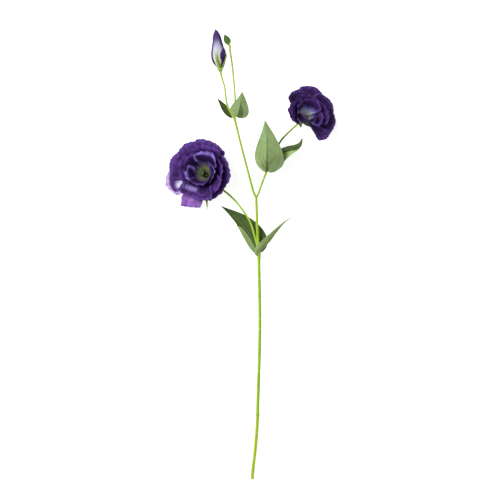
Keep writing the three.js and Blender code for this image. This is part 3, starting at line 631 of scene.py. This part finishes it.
def leafFinish():
    material, tree, shader = newMaterial("leafGreen", roughness=0.58, specular=0.22, sheen=0.05)
    vein = attribute(tree, "vein")
    thread = fibresOn(tree, clothPlace(tree), across=70.0, along=12.0, seed=5.0)["Thread"]
    spots = mottleOn(tree, size=130.0, grain=1400.0)
    cloud = ranged(tree, spots["Cloud"], 0.3, 0.7)
    faces = []
    for face, veined in (("dark", 0.65), ("pale", 0.7)):
        blotched = mixed(tree, cloud, leafColours[face], leafColours[face + "Spot"])
        faces.append(mixed(tree, times(tree, vein, veined), blotched, leafColours[face + "Vein"]))
    colour = mixed(tree, attribute(tree, "behind"), *faces)
    shade = times(tree, ranged(tree, thread, 0.3, 0.7, 0.86, 1.12, smooth=False), attribute(tree, "tone"))
    relief = maths(tree, "ADD", times(tree, spots["Grain"], 0.5), times(tree, thread, 0.7))
    finishSurface(tree, shader, scaled(tree, colour, shade), relief, strength=0.4)
    return material


def sepalFinish(name, colours, cloudSize, threaded, **stops):  # threaded: fine lines in place of a grain
    material, tree, shader = newMaterial(name, roughness=0.5, specular=0.35)
    spots = mottleOn(tree, size=cloudSize, grain=1500.0)
    relief, strength = spots["Grain"], 0.3
    if threaded:
        lines = fibresOn(tree, ownPlace(tree), across=500.0, along=90.0, seed=9.0)
        relief, strength = lines["Thread"], 0.35
    colour = ramp(tree, attribute(tree, "along"), colours, **stops)
    colour = mixed(tree, ranged(tree, spots["Cloud"], 0.45, 0.75, 0.0, 0.5), colour, colours["spot"])
    finishSurface(tree, shader, colour, relief, strength)
    return material


def heartFinish(name, low, high):
    material, tree, shader = newMaterial(name, roughness=0.6, specular=0.3)
    grain = mottleOn(tree, size=500.0, grain=2600.0)["Grain"]
    colour = mixed(tree, attribute(tree, "along"), heartColours[low], heartColours[high])
    colour = scaled(tree, colour, ranged(tree, grain, 0.35, 0.65, 0.75, 1.2, smooth=False))
    finishSurface(tree, shader, colour, grain, strength=0.6)
    return material


stemSkin = stemFinish()
leafSkin = leafFinish()
calyxSkin = sepalFinish("calyxGreen", calyxColours, 220.0, True, foot=0.0, body=0.5, tip=1.0)
pistilSkin = heartFinish("pistilGreen", "ovary", "stigma")
stamenSkin = heartFinish("stamenYellow", "filament", "anther")
closedBudSkin = sepalFinish("budGreen", closedColours, 260.0, False, foot=0.0, low=0.2, high=0.75, tip=1.0)
print("green finishes made")


# geometry node trees

def newTree(name, inputs):
    sockets = {"Geometry": "Geometry", **inputs, "Finish": "Material"}
    tree, given, result = newGroup("Geometry", name, sockets, {"Geometry": "Geometry"})
    tree.is_modifier = True
    return tree, given, result


def endTree(tree, geometry, given, result):
    real = makeNode(tree, "GeometryNodeRealizeInstances", {0: geometry})[0]
    painted = makeNode(tree, "GeometryNodeSetMaterial", {"Geometry": real, "Material": given["Finish"]})
    tree.links.new(painted[0], result[0])
    return tree


def makeSkinAlongPaths():  # a round skin along every line of edges, as thick as its points say
    tree, given, result = newTree("skinAlongPaths", {"Sides": "Int"})
    lines = makeNode(tree, "GeometryNodeMeshToCurve", {0: given["Geometry"]})[0]
    thickness = makeNode(tree, "GeometryNodeInputNamedAttribute", {"Name": "thickness"}, data_type="FLOAT")[0]
    inputs = {"Resolution": given["Sides"], "Radius": 1.0}
    ring = makeNode(tree, "GeometryNodeCurvePrimitiveCircle", inputs)[0]
    inputs = {"Curve": lines, "Profile Curve": ring, "Scale": thickness, "Fill Caps": True}
    skin = makeNode(tree, "GeometryNodeCurveToMesh", inputs)[0]
    soft = makeNode(tree, "GeometryNodeSetShadeSmooth", {"Geometry": skin})[0]
    return endTree(tree, soft, given, result)


def makeRingOfCopies():  # copies of one piece round an axis, each a little off its place
    tree, given, result = newTree("ringOfCopies", {
        "Count": "Int", "Facing": "Rotation", "Place": "Vector", "Unevenness": "Float", "Seed": "Int"})
    spots = makeNode(tree, "GeometryNodePoints", {"Count": given["Count"]})[0]
    number = makeNode(tree, "GeometryNodeInputIndex")[0]
    low = times(tree, given["Unevenness"], -1.0)
    turns = []
    for offset in range(3):
        seed = maths(tree, "ADD", given["Seed"], offset)
        inputs = {2: low, 3: given["Unevenness"], "ID": number, "Seed": seed}
        turns.append(makeNode(tree, "FunctionNodeRandomValue", inputs, data_type="FLOAT")[1])
    step = maths(tree, "DIVIDE", 2 * math.pi, given["Count"])
    about = maths(tree, "ADD", times(tree, number, step), turns[2])
    turn = makeNode(tree, "ShaderNodeCombineXYZ", {"X": turns[0], "Y": turns[1], "Z": about})[0]
    inputs = {"Points": spots, "Instance": given["Geometry"], "Rotation": turn}
    copies = makeNode(tree, "GeometryNodeInstanceOnPoints", inputs)[0]
    inputs = {"Geometry": copies, "Translation": given["Place"], "Rotation": given["Facing"]}
    moved = makeNode(tree, "GeometryNodeTransform", inputs)[0]
    return endTree(tree, moved, given, result)


def throughTree(carrierMesh, tree, inputs):  # the mesh that a tree makes of a carrier mesh
    carrier = bpy.data.objects.new("carrier", carrierMesh)
    bpy.context.scene.collection.objects.link(carrier)
    modifier = carrier.modifiers.new("tree", "NODES")
    modifier.node_group = tree
    for item in tree.interface.items_tree:
        if item.item_type == "SOCKET" and item.in_out == "INPUT" and item.name in inputs:
            modifier[item.identifier] = inputs[item.name]
    depsgraph = bpy.context.evaluated_depsgraph_get()
    mesh = bpy.data.meshes.new_from_object(carrier.evaluated_get(depsgraph), preserve_all_data_layers=True,
                                           depsgraph=depsgraph)
    carrier.modifiers.remove(modifier)
    bpy.data.objects.remove(carrier)
    return mesh


skinAlongPaths = makeSkinAlongPaths()
ringOfCopies = makeRingOfCopies()


def skinOf(name, paths, sides, skin):  # a round skin on each path of (points, radii, other values)
    edges, start = [], 0
    for line, *_ in paths:
        edges += [(start + k, start + k + 1) for k in range(len(line) - 1)]
        start += len(line)
    mesh = bpy.data.meshes.new(name)
    mesh.from_pydata((np.concatenate([path[0] for path in paths]) * mm).tolist(), edges, [])
    values = [{"thickness": radii * mm, **more} for _, radii, more in paths]
    addValues(mesh, {key: np.concatenate([np.broadcast_to(found[key], len(path[0]))
                                          for path, found in zip(paths, values)]) for key in values[0]})
    return throughTree(mesh, skinAlongPaths, {"Sides": sides, "Finish": skin})


def liftToTable(mesh):
    coords = coordsOf(mesh)
    coords[:, 2] = np.maximum(coords[:, 2], 0)
    mesh.vertices.foreach_set("co", coords.ravel())
    mesh.update()
    return mesh


# stem, branches and flower stalks

lowerNode = (10.9, 4.2, 19.6)
fork = (7.6, 77, 25)
middleNode = (21.2, 111.5, 28)
upperNode = (-21.4, 181.8, 33.3)

stemMake = {
    "step": 1.3, "sides": 20, "radius": 2.2, "aboveLeaves": 1.75, "side": 1.5, "stalk": 1.35, "budStalk": 1.2,
    # swollen rings: how far up the stem, and by how much its radius grows
    "collars": {-288.1: 0.2, -213.6: 0.5, -177.2: 0.18, -118.8: 0.36, -54.5: 0.3, -10.6: 0.16},
    "collarLength": 2.2, "nodeSwelling": 0.9, "nodeLength": 7, "cutChamfer": 0.25,
    "scarLines": [-271, -238, -155, -98, -84, -31], "scarDepth": 0.14, "scarLength": 0.9,
}
stemRoute = [
    (2.2, -300.4, 2.0), (2.6, -293, 2.0), (3.4, -285.3, 2.2), (6.9, -253.5, 3.7), (9.1, -221.6, 5.8),
    (10.0, -189.8, 8.0), (11.4, -147.3, 10.8), (12.4, -104.8, 13.5), (12.3, -62.4, 16.0),
    (11.3, -19.9, 18.4), lowerNode, (8.9, 33.8, 21.5), (8.4, 54, 23.0), fork,
]
leftBranch = [fork, (4.7, 82.3, 25.3), (-0.9, 102.2, 27), (-7.9, 128.7, 29), (-13.5, 149.9, 31),
              (-17.4, 165.9, 32.3), upperNode]
rightBranch = [fork, (10.4, 82.3, 25.4), (15.1, 95.5, 26.8), middleNode]
flowerStalks = [  # the flower, the kind of stalk, how much painted shade darkens its lower half, and its route
    (leftBloom, "stalk", 0.0, [
        lowerNode, (8.6, 14.5, 19.8), (5.6, 25.5, 18.9), (1.2, 40.5, 16.6), (-2.9, 49.1, 14.8),
        (-11.8, 62.4, 11.8), (-20.2, 73, 9.0), (-30, 82.3, 6.2), (-36.5, 87.6, 4.8), (-45, 95, 3.4),
        (-53.5, 102.5, 3.6)]),
    (rightBloom, "stalk", 0.85, [
        middleNode, (25, 122, 26.4), (32, 137, 22.6), (40.3, 152.6, 17.8), (44.5, 157.9, 15.6),
        (52.4, 165.9, 12.6), (57.8, 171.2, 9.4), (62.2, 175.2, 7.4)]),
    (purpleBud, "budStalk", 0.0, [
        upperNode, (-25.4, 188.4, 34), (-28.9, 194.2, 34.6), (-31.2, 200.4, 35.3), (-32.4, 208.3, 36),
        (-33.7, 218.9, 36.8), (-34.9, 225.4, 37.2), (-37.1, 232.2, 37.5)]),
    (greenBud, "budStalk", 0.0, [
        upperNode, (-20.6, 194, 33.2), (-20.4, 206, 33.6), (-21.2, 218.9, 34.2), (-22.3, 232.2, 35),
        (-23.9, 248, 36.0), (-25.4, 260, 36.7), (-26.9, 270, 37.2)]),
]


def stemPath(points, radiusOf, dusk=0.0):
    at, length = pathThrough(points)
    share = np.linspace(0, 1, int(length / stemMake["step"]) + 2)
    line = at(share)
    radius, scar = radiusOf(share, line[:, 1])
    return line, radius, {"scar": scar, "dusk": dusk * (1 - smoothStep(share, 0.55, 0.86))}


def mainRadius(_, y):
    def ringAt(place, length):
        return np.exp(-((y - place) / length) ** 2)

    thin = stemMake["scarLength"]
    radius = stemMake["radius"] + (stemMake["aboveLeaves"] - stemMake["radius"]) * smoothStep(y, 4, 30)
    scar = np.zeros(len(y))
    for place, swelling in stemMake["collars"].items():
        radius += swelling * ringAt(place, stemMake["collarLength"])
        scar += 0.5 * ringAt(place - 2.5, thin)
    for place in stemMake["scarLines"]:
        radius -= stemMake["scarDepth"] * ringAt(place, thin)
        scar += 0.6 * ringAt(place, thin)
    radius += stemMake["nodeSwelling"] * ringAt(lowerNode[1], stemMake["nodeLength"])
    radius[0] -= stemMake["cutChamfer"]
    return radius, np.clip(scar, 0, 1)


def swollenEnds(kind, foot, footPower, end, endPower):
    def radiusOf(share, _):
        return stemMake[kind] + foot * (1 - share) ** footPower + end * share ** endPower, 0.0
    return radiusOf


def makeStem():
    paths = [stemPath(stemRoute, mainRadius), stemPath(leftBranch, swollenEnds("side", 0.2, 6, 0.6, 20)),
             stemPath(rightBranch, swollenEnds("side", 0.2, 6, 0.5, 6))]
    for flower, kind, dusk, points in flowerStalks:
        route = [*points, flower["seat"] - 1.5 * flower["axis"], flower["seat"] + 0.7 * flower["axis"]]
        paths.append(stemPath(route, swollenEnds(kind, 0.4, 8, 0.8, 14), dusk))
    settle("stem_skin", liftToTable(skinOf("stem", paths, stemMake["sides"], stemSkin)), None, "stem")


makeStem()
print("stem made")


# leaves

leafMake = {"columns": 48, "rows": 84, "thickness": 0.5, "veinRadius": 0.42, "rollRadius": 0.7,
            "crimp": 0.25}
# broad: how soon each half is at its widest; the leaf's tone: how light it is, partly its own colour and
# partly painted light and shade; the right half's factor: painted shade below 1 and painted light above 1 on
# that half
# rolled: the widest strip of margin that is turned back, and where along the leaf it starts and ends
# crease: a dark strip beside the midrib, by its width, its end and its depth of shade
# hollows: dark patches, by place across and along, width, height and depth of shade
# veins: how far out each runs, where it leaves the midrib and where it fades, and how thick it is
# veinGirth, veinShade: how thick the raised midrib is, and how dark the raised veins are at the foot
# lopsided: how much further out the right half's veins run
leafLook = {
    "broad": (0.62, 0.62), "wave": 0.35, "rolled": None, "tone": 1.0, "farSide": 1.0, "crease": None,
    "hollows": [], "veinGirth": 1.0, "veinShade": 0.0, "lopsided": 0.0,
    "veins": [(0.0, 0.0, 0.84, 1.5), (0.3, 0.1, 0.62, 0.5), (0.52, 0.03, 0.66, 0.62), (0.78, 0.0, 0.5, 0.4)]}
leaves = {
    "leaf_lower_right": {
        "midrib": [(7.6, -0.2, 22.6), (9.6, 6.4, 24.2), (15.6, 13.3, 26), (23.4, 21.2, 28.2),
                   (32.5, 31.2, 30.5), (44.5, 43.4, 32.3), (55.2, 51.1, 32.5)],
        "left": 5, "right": 5.2, "facing": [(-0.1, -0.3, 0.95), (0.5, -0.6, 0.6)], "fold": -0.45,
        "broad": (0.5, 0.5), "paleUp": True},
    "leaf_lower_left": {
        "midrib": [(10, 2.6, 15.4), (4.6, 16.4, 13.6), (-4, 31.4, 11.8), (-15.5, 46, 10.4),
                   (-28.4, 57.4, 9.8), (-39, 65.6, 11)],
        "left": 8.5, "right": 19, "facing": [(0.1, 0.15, 0.95), (-0.1, 0.3, 0.95)], "fold": 0.25,
        "broad": (0.55, 0.5), "paleUp": False, "rolled": (7.0, -0.2, 0.6)},
    "leaf_middle_front": {
        "midrib": [(20.9, 110.8, 30.8), (21.1, 122, 33.2), (21.8, 138, 35.6), (21.6, 155, 37.6),
                   (20.3, 168, 38.9), (19.2, 177.6, 39.6)],
        "left": 15.8, "right": 23, "facing": [(0, -0.15, 1), (0, 0.1, 1)], "fold": -0.22,
        "broad": (0.62, 0.47), "wave": 0.8, "paleUp": True, "tone": 1.08, "farSide": 0.94,
        "crease": (0.2, 0.5, 0.16), "lopsided": 0.2, "veinGirth": 2.3, "veinShade": 0.24,
        "hollows": [(-0.36, 0.09, 0.3, 0.1, 0.34), (0.06, 0.05, 0.14, 0.14, 0.34),
                    (0.6, 0.18, 0.5, 0.2, 0.17)],
        "veins": [(0.0, 0.0, 0.76, 1.5), (0.5, 0.14, 0.4, 1.35), (0.76, 0.04, 0.5, 0.22)]},
    "leaf_middle_right": {
        "midrib": [(22.8, 111.6, 26.6), (31, 122, 22.4), (40, 132.5, 20.2), (50, 138.5, 19.2),
                   (60, 142.6, 19.6), (66.7, 148, 21.2), (69.4, 155.6, 24)],
        "left": 10.5, "right": 10, "facing": [(-0.2, 0.5, 0.85), (-0.35, 0.35, 0.87)], "fold": -0.25,
        "broad": (0.7, 0.5), "paleUp": True, "tone": 1.14, "farSide": 1.24, "rolled": (9.0, -0.05, 1.2)},
    "leaf_upper_right": {
        "midrib": [(-18.6, 182.8, 36.2), (-16.6, 187.5, 37.6), (-14.4, 196, 38.9), (-12.4, 205, 40),
                   (-11.1, 215.8, 41)],
        "left": 11.5, "right": 14, "facing": [(0.05, -0.2, 1), (0.1, 0.1, 1)], "fold": -0.3,
        "broad": (0.5, 0.52), "paleUp": True, "tone": 0.95, "farSide": 1.04, "crease": (0.75, 0.66, 0.55),
        "veins": [(0.0, 0.0, 0.84, 1.4), (0.5, 0.03, 0.5, 0.3)]},
    "leaf_upper_left": {
        "midrib": [(-23.4, 182.6, 30.6), (-28, 188.5, 30), (-33.5, 195, 30.2), (-39, 202, 31.4),
                   (-44.4, 208.3, 33.4)],
        "left": 5.4, "right": 4.4, "facing": [(-0.2, 0.3, 0.9), (-0.3, 0.2, 0.9)], "fold": 0.25,
        "paleUp": False, "tone": 0.72, "veins": [(0.0, 0.0, 0.84, 1.0), (0.5, 0.05, 0.6, 0.3)]},
}


def halfOutline(v, broad):
    return 0.03 + np.sin(math.pi * np.minimum(1, 0.012 + 0.988 * v) ** broad) ** 1.1


def rolledBack(reach, edge):
    # past the edge the margin turns over and comes back above the face: (out, up) from the midrib
    radius = leafMake["rollRadius"]
    past = np.maximum(0, reach - edge)
    angle = np.minimum(past / radius, math.pi)
    back = np.maximum(0, past - math.pi * radius)
    return np.minimum(reach, edge) + radius * np.sin(angle) - back, radius * (1 - np.cos(angle)) + 0.16 * back


def leafSurface(leaf):
    at, length = pathThrough(leaf["midrib"])
    baseFacing, tipFacing = (unit(vec(*way)) for way in leaf["facing"])

    def surface(u, v):
        centre, along = at(v), directionAt(at, v)
        face = baseFacing + (tipFacing - baseFacing) * v[..., None]
        face = unit(face - along * (face * along).sum(-1, keepdims=True))
        side = np.cross(along, face)
        left, right = (widest * halfOutline(v, broad)
                       for widest, broad in zip((leaf["left"], leaf["right"]), leaf["broad"]))
        half = np.where(u < 0, left, right)
        reach = half * np.abs(u)
        lift = 0
        if leaf["rolled"]:
            widest, start, end = leaf["rolled"]
            strip = widest * np.sin(math.pi * np.clip((v - start) / (end - start), 0, 1)) ** 0.7
            strip = np.minimum(strip, 1.7 * left)
            out, up = rolledBack(np.abs(u) * (left + strip + 2.2 * smoothStep(strip, 0, 4)), left)
            reach = np.where(u < 0, out, reach)
            lift = np.where(u < 0, up, 0)
        # the fold along the midrib, a slow wave and a fine crimp at the margin
        lift = lift + (np.sqrt(reach ** 2 + 0.8) - 0.9) * math.sin(leaf["fold"])
        lift = lift + leaf["wave"] * np.sin(9 * v + 3 * u) * u * u * np.minimum(1, half / 4)
        lift = lift + leafMake["crimp"] * np.sin(23 * v + 5 * u) * u ** 4 * np.minimum(1, half / 5)
        out = np.sign(u) * reach * math.cos(leaf["fold"])
        return centre + side * out[..., None] + face * lift[..., None], half
    return surface, length


def veinPlace(leaf, vein, v, way):  # how far out of the half's width a side vein runs, to the left or right
    spread, start = vein[:2]
    spread *= 1 + way * leaf["lopsided"]
    return spread * np.tanh(6.25 * np.maximum(0, v - start)) ** 0.8 * (1 - 0.25 * v)


def leafShade(leaf, u, v):  # the crease, the hollows and the side turned from the light
    shade = np.where(u > 0, leaf["farSide"], 1.0) + 0 * v
    if leaf["crease"]:
        widest, end, dark = leaf["crease"]
        edge = widest * np.clip(1 - v / end, 0, 1)
        shade = shade - dark * smoothStep(u, 0.0, 0.04) * smoothStep(u, edge + 0.05, edge - 0.08)
    for across, along, wide, tall, dark in leaf["hollows"]:
        shade = shade - dark * np.exp(-((u - across) / wide) ** 2 - ((v - along) / tall) ** 2)
    return shade


def makeBlade(name, leaf, surface, length):
    v, u = gridOf(np.linspace(0, 1, leafMake["rows"]), leafMake["columns"] + 1)
    points, half = surface(u, v)
    veined = np.zeros_like(u)
    for vein in leaf["veins"]:
        end, girth = vein[2:]
        gap = np.abs(np.abs(u) - veinPlace(leaf, vein, v, np.sign(u))) * half
        width = 0.35 + 0.35 * girth
        veined = np.maximum(veined, np.exp(-(gap / width) ** 2) * (1 - smoothStep(v, end - 0.2, end + 0.1)))
    values = {"vein": veined, "tone": leaf["tone"] * leafShade(leaf, u, v)}
    flat = np.stack([u * half * 0.01 + 0.5, v * length * 0.01], -1)
    verts, faces, doubled, uv = sheetParts(points, leafMake["thickness"], values, flat)
    if leaf["paleUp"]:
        doubled["behind"] = 1 - doubled["behind"]
    settle(f"{name}_blade", meshOf(name, verts, faces, doubled, uv), leafSkin, name)


def makeVeins(name, leaf, surface):  # they stand up on the pale underside
    toPale = 1 if leaf["paleUp"] else -1
    paths = []
    for vein in leaf["veins"]:
        spread, start, end, girth = vein
        for way in ((-1, 1) if spread else (0,)):
            v = np.linspace(start, end, 60)
            u = np.maximum(veinPlace(leaf, vein, v, way), 1e-4) * (way or 1)
            points, _ = surface(u, v)
            beyond, _ = surface(u + 0.01, v)
            normal = unit(np.cross(beyond - points, np.gradient(points, axis=0)))
            radius = leafMake["veinRadius"] * girth * (1.0 if spread else leaf["veinGirth"])
            thin = radius * (1 - (v - start) / (end - start)) ** 0.8 + 0.02
            line = points + normal * toPale * (leafMake["thickness"] / 2 - thin * 0.35)[..., None]
            tone = (1.04 - leaf["veinShade"] * (1 - v)) * leafShade(leaf, u, v)
            paths.append((line, thin, {"vein": 1.0, "behind": 1.0, "tone": tone}))
    mesh = skinOf(name + "Veins", paths, 8, leafSkin)
    mesh.uv_layers.new(name="UVMap")
    settle(f"{name}_veins", liftToTable(mesh), None, name)


for leafName, ownLook in leaves.items():
    fullLook = {**leafLook, **ownLook}
    bladeSurface, bladeLength = leafSurface(fullLook)
    makeBlade(leafName, fullLook, bladeSurface, bladeLength)
    makeVeins(leafName, fullLook, bladeSurface)
print("leaves made")


# calyxes: a cup on the stalk's end and long keeled sepals

sepalMake = {"columns": 10, "rows": 28, "thickness": 0.45, "keel": 0.35}
# each sepal: its turn round the axis, its length, and its angle from the axis at the foot and at the tip
leftSepals = [(205, 44, 92, 94), (277, 26, 88, 80), (349, 28, 88, 80), (61, 28, 90, 84), (133, 28, 90, 84)]
rightSepals = [(20, 15, 84, 74), (92, 24, 90, 84), (164, 22, 90, 84), (236, 9, 84, 74), (308, 9, 84, 70)]
budSepals = [(180, 30, 45, 22), (252, 32, 41, 8), (324, 22, 45, 14), (36, 28, 42, 12), (108, 24, 47, 16)]


def sepalParts(flower, sepal, width):
    turn, length, foot, tip = sepal
    outward = outwardAt(flower, turn)
    side = np.cross(flower["axis"], outward)
    start = flower["seat"] + flower["axis"] * 2.4 + outward * flower["tube"] * 0.55
    middle = start + headingAt(flower, outward, foot) * length / 2
    spine = [start, middle, middle + headingAt(flower, outward, tip) * length / 2]
    v, u = gridOf(np.linspace(0, 1, sepalMake["rows"]), sepalMake["columns"] + 1)
    along = bezierDirection(spine, v)
    inward = unit(np.cross(along, side))
    reach = width / 2 * (0.04 + 0.94 * np.sin(math.pi * (0.25 + 0.74 * v)) ** 0.9) * u
    keel = sepalMake["keel"] * (np.sqrt(reach ** 2 + 0.15) - 0.39) + 0.25 * np.sin(7 * v + turn)
    points = bezier(spine, v) + side * reach[..., None] + inward * keel[..., None]
    flat = np.stack([reach * 0.01, v * length * 0.01], -1)
    return sheetParts(points[:, ::-1], sepalMake["thickness"], {"along": v}, flat[:, ::-1])


def makeCalyx(title, node, flower, sepals, sepalWidth=4.6):
    parts = joined([sepalParts(flower, sepal, sepalWidth) for sepal in sepals])
    settle(f"{title}_sepals", meshOf(f"{title}_sepals", *parts), calyxSkin, node)
    radius, rim = flower["tube"], calyxDepth
    profile = [(0, 0.3), (1.9, 0.3), (radius * 0.62, 1.1), (radius * 0.85, 2.0), (radius, 3.4),
               (radius + 0.6, rim), (radius + 0.75, rim + 0.5), (radius + 0.3, rim + 0.5),
               (radius * 0.85, rim - 0.3), (0, rim - 0.3)]
    cup = turnedMesh(f"{title}_cup", flower, profile, 40, ridges=0.05)
    cup.uv_layers.new(name="UVMap")
    settle(f"{title}_cup", cup, calyxSkin, node)


makeCalyx("left_calyx", "bloom_left_calyx", leftBloom, leftSepals)
makeCalyx("right_calyx", "bloom_right_calyx", rightBloom, rightSepals)
makeCalyx("bud_calyx", "bud_purple_calyx", purpleBud, budSepals, 3.4)
print("calyxes made")


# hearts: a pistil with a two-lobed stigma, and a ring of stamens

heartMake = {"stamens": 5, "unevenness": 0.09, "filamentRadius": (0.42, 0.26), "antherGap": 0.32}
pistilOutline = [(0, 0), (1.6, 0), (2.8, 1.2), (3.3, 3.2), (2.6, 5.4), (1.5, 7.2), (1.2, 9.0), (1.6, 10.4),
                 (3.4, 11.6), (4.0, 12.7), (3.2, 13.9), (1.2, 14.1), (0, 13.3)]  # radius and height


def stamenMesh(girth, rise):  # one filament and one anther, as they stand beside an axis that runs up Z
    stalk = bezier([vec(0.9, 0, rise), vec(2.6 * girth, 0, 4 * rise), vec(4.4 * girth, 0, 9.5 * rise)],
                   np.linspace(0, 1, 14))
    paths = [(stalk, np.linspace(*heartMake["filamentRadius"], 14), {"along": 0.1})]
    sac = np.linspace(0, 1, 12)
    for gap in (-heartMake["antherGap"], heartMake["antherGap"]):
        low, high = vec(4.0 * girth, gap, 8.4 * rise), vec(4.9 * girth, gap * 1.5, 11.9 * rise)
        line = low + (high - low) * sac[:, None]
        paths.append((line, 0.14 + 0.52 * np.sin(math.pi * sac) ** 0.6, {"along": 1.0}))
    return skinOf("stamen", paths, 10, stamenSkin)


def makeHeart(title, node, flower, seed, girth=1.0, rise=1.0):
    foot = calyxDepth + corollaFloor + 0.3
    stamens = throughTree(stamenMesh(girth, rise), ringOfCopies, {
        "Count": heartMake["stamens"], "Facing": Vector(flower["axis"]).to_track_quat("Z", "Y").to_euler(),
        "Place": (flower["seat"] + flower["axis"] * foot) * mm,
        "Unevenness": heartMake["unevenness"], "Seed": seed, "Finish": stamenSkin})
    settle(f"{title}_stamens", stamens, None, node)
    profile = [(radius * girth, foot + height * rise) for radius, height in pistilOutline]
    pistil = turnedMesh(f"{title}_pistil", flower, profile, 36, ridges=0.2, ridgeCount=2)
    settle(f"{title}_pistil", pistil, pistilSkin, node)


makeHeart("left_heart", "bloom_left_heart", leftBloom, 4)
makeHeart("right_heart", "bloom_right_heart", rightBloom, 9, girth=0.6, rise=0.55)
print("hearts made")


# the small closed bud: folded sepals that twist a little towards the tip

closedBudMake = {"length": 14.6, "rings": 36, "sides": 40, "ridges": 0.09, "twist": 0.5}


def makeClosedBud():
    make = closedBudMake
    sides, rings = make["sides"], make["rings"]
    turns = np.linspace(0, 2 * math.pi, sides, endpoint=False)
    share, turn = np.meshgrid(np.linspace(0, 1, rings), turns, indexing="ij")
    outline = 1.6 * (1 - share) ** 2 + 3.7 * np.sin(math.pi * share ** 0.85) ** 0.9 + 0.1
    fold = ((turn + make["twist"] * share) * 5 / (2 * math.pi)) % 1
    radius = outline * (1 + make["ridges"] * (np.abs(fold - 0.5) * 4 - 1))
    up = 0.3 + share * make["length"]
    points = (greenBud["seat"] + greenBud["axis"] * up[..., None]
              + outwardAt(greenBud, np.degrees(turn)) * radius[..., None])
    faces = [(low + j, low + (j + 1) % sides, low + sides + (j + 1) % sides, low + sides + j)
             for low in range(0, (rings - 1) * sides, sides) for j in range(sides)]
    faces += [range(sides)[::-1], range((rings - 1) * sides, rings * sides)]
    mesh = meshOf("green_bud", points.reshape(-1, 3), faces, {"along": share.ravel()})
    settle("green_bud", mesh, closedBudSkin, "bud_green")


makeClosedBud()
print("small green bud made")


# table, light and camera

stageMake = {"table": tint(240, 240, 240), "halfTable": 4, "glow": 0.74, "world": 0.28, "aim": (0, 0.02, 0)}
lamps = {"keyLamp": {"place": (-0.9, 0.55, 1.3), "size": 0.9, "power": 22.0},
         "fillLamp": {"place": (0.9, -0.5, 1.6), "size": 1.4, "power": 1.2}}
cameraMake = {"place": (-0.7, 7.3, 1868), "lens": 100, "sensor": 36}  # straight above the table, looking down
white = (1, 1, 1, 1)


def addObject(name, data):
    item = bpy.data.objects.new(name, data)
    bpy.context.scene.collection.objects.link(item)
    return item


def makeStage():
    far = stageMake["halfTable"]
    mesh = bpy.data.meshes.new("table")
    mesh.from_pydata([(-far, -far, 0), (far, -far, 0), (far, far, 0), (-far, far, 0)], [], [(0, 1, 2, 3)])
    material, _, shader = newMaterial("tableWhite", roughness=0.9, specular=0.1)
    for title, value in (("Base Color", stageMake["table"]), ("Emission Color", white),
                         ("Emission Strength", stageMake["glow"])):
        shader.inputs[title].default_value = value
    mesh.materials.append(material)
    table = addObject("table", mesh)


def makeLights():
    world = bpy.data.worlds.new("softRoom")
    world.use_nodes = True
    background = world.node_tree.nodes["Background"].inputs
    background["Color"].default_value = white
    background["Strength"].default_value = stageMake["world"]
    bpy.context.scene.world = world
    for name, lamp in lamps.items():
        light = bpy.data.lights.new(name, "AREA")
        light.shape = "DISK"
        light.size = lamp["size"]
        light.energy = lamp["power"]
        item = addObject(name, light)
        item.location = lamp["place"]
        away = Vector(stageMake["aim"]) - Vector(lamp["place"])
        item.rotation_euler = away.to_track_quat("-Z", "Y").to_euler()


def makeCamera():
    data = bpy.data.cameras.new("camera")
    data.lens = cameraMake["lens"]
    data.sensor_width = cameraMake["sensor"]
    camera = addObject("camera", data)
    camera.location = [number * mm for number in cameraMake["place"]]
    bpy.context.scene.camera = camera


makeStage()
makeLights()
makeCamera()
bpy.context.scene.view_settings.view_transform = "Standard"
print("table, lights and camera set")
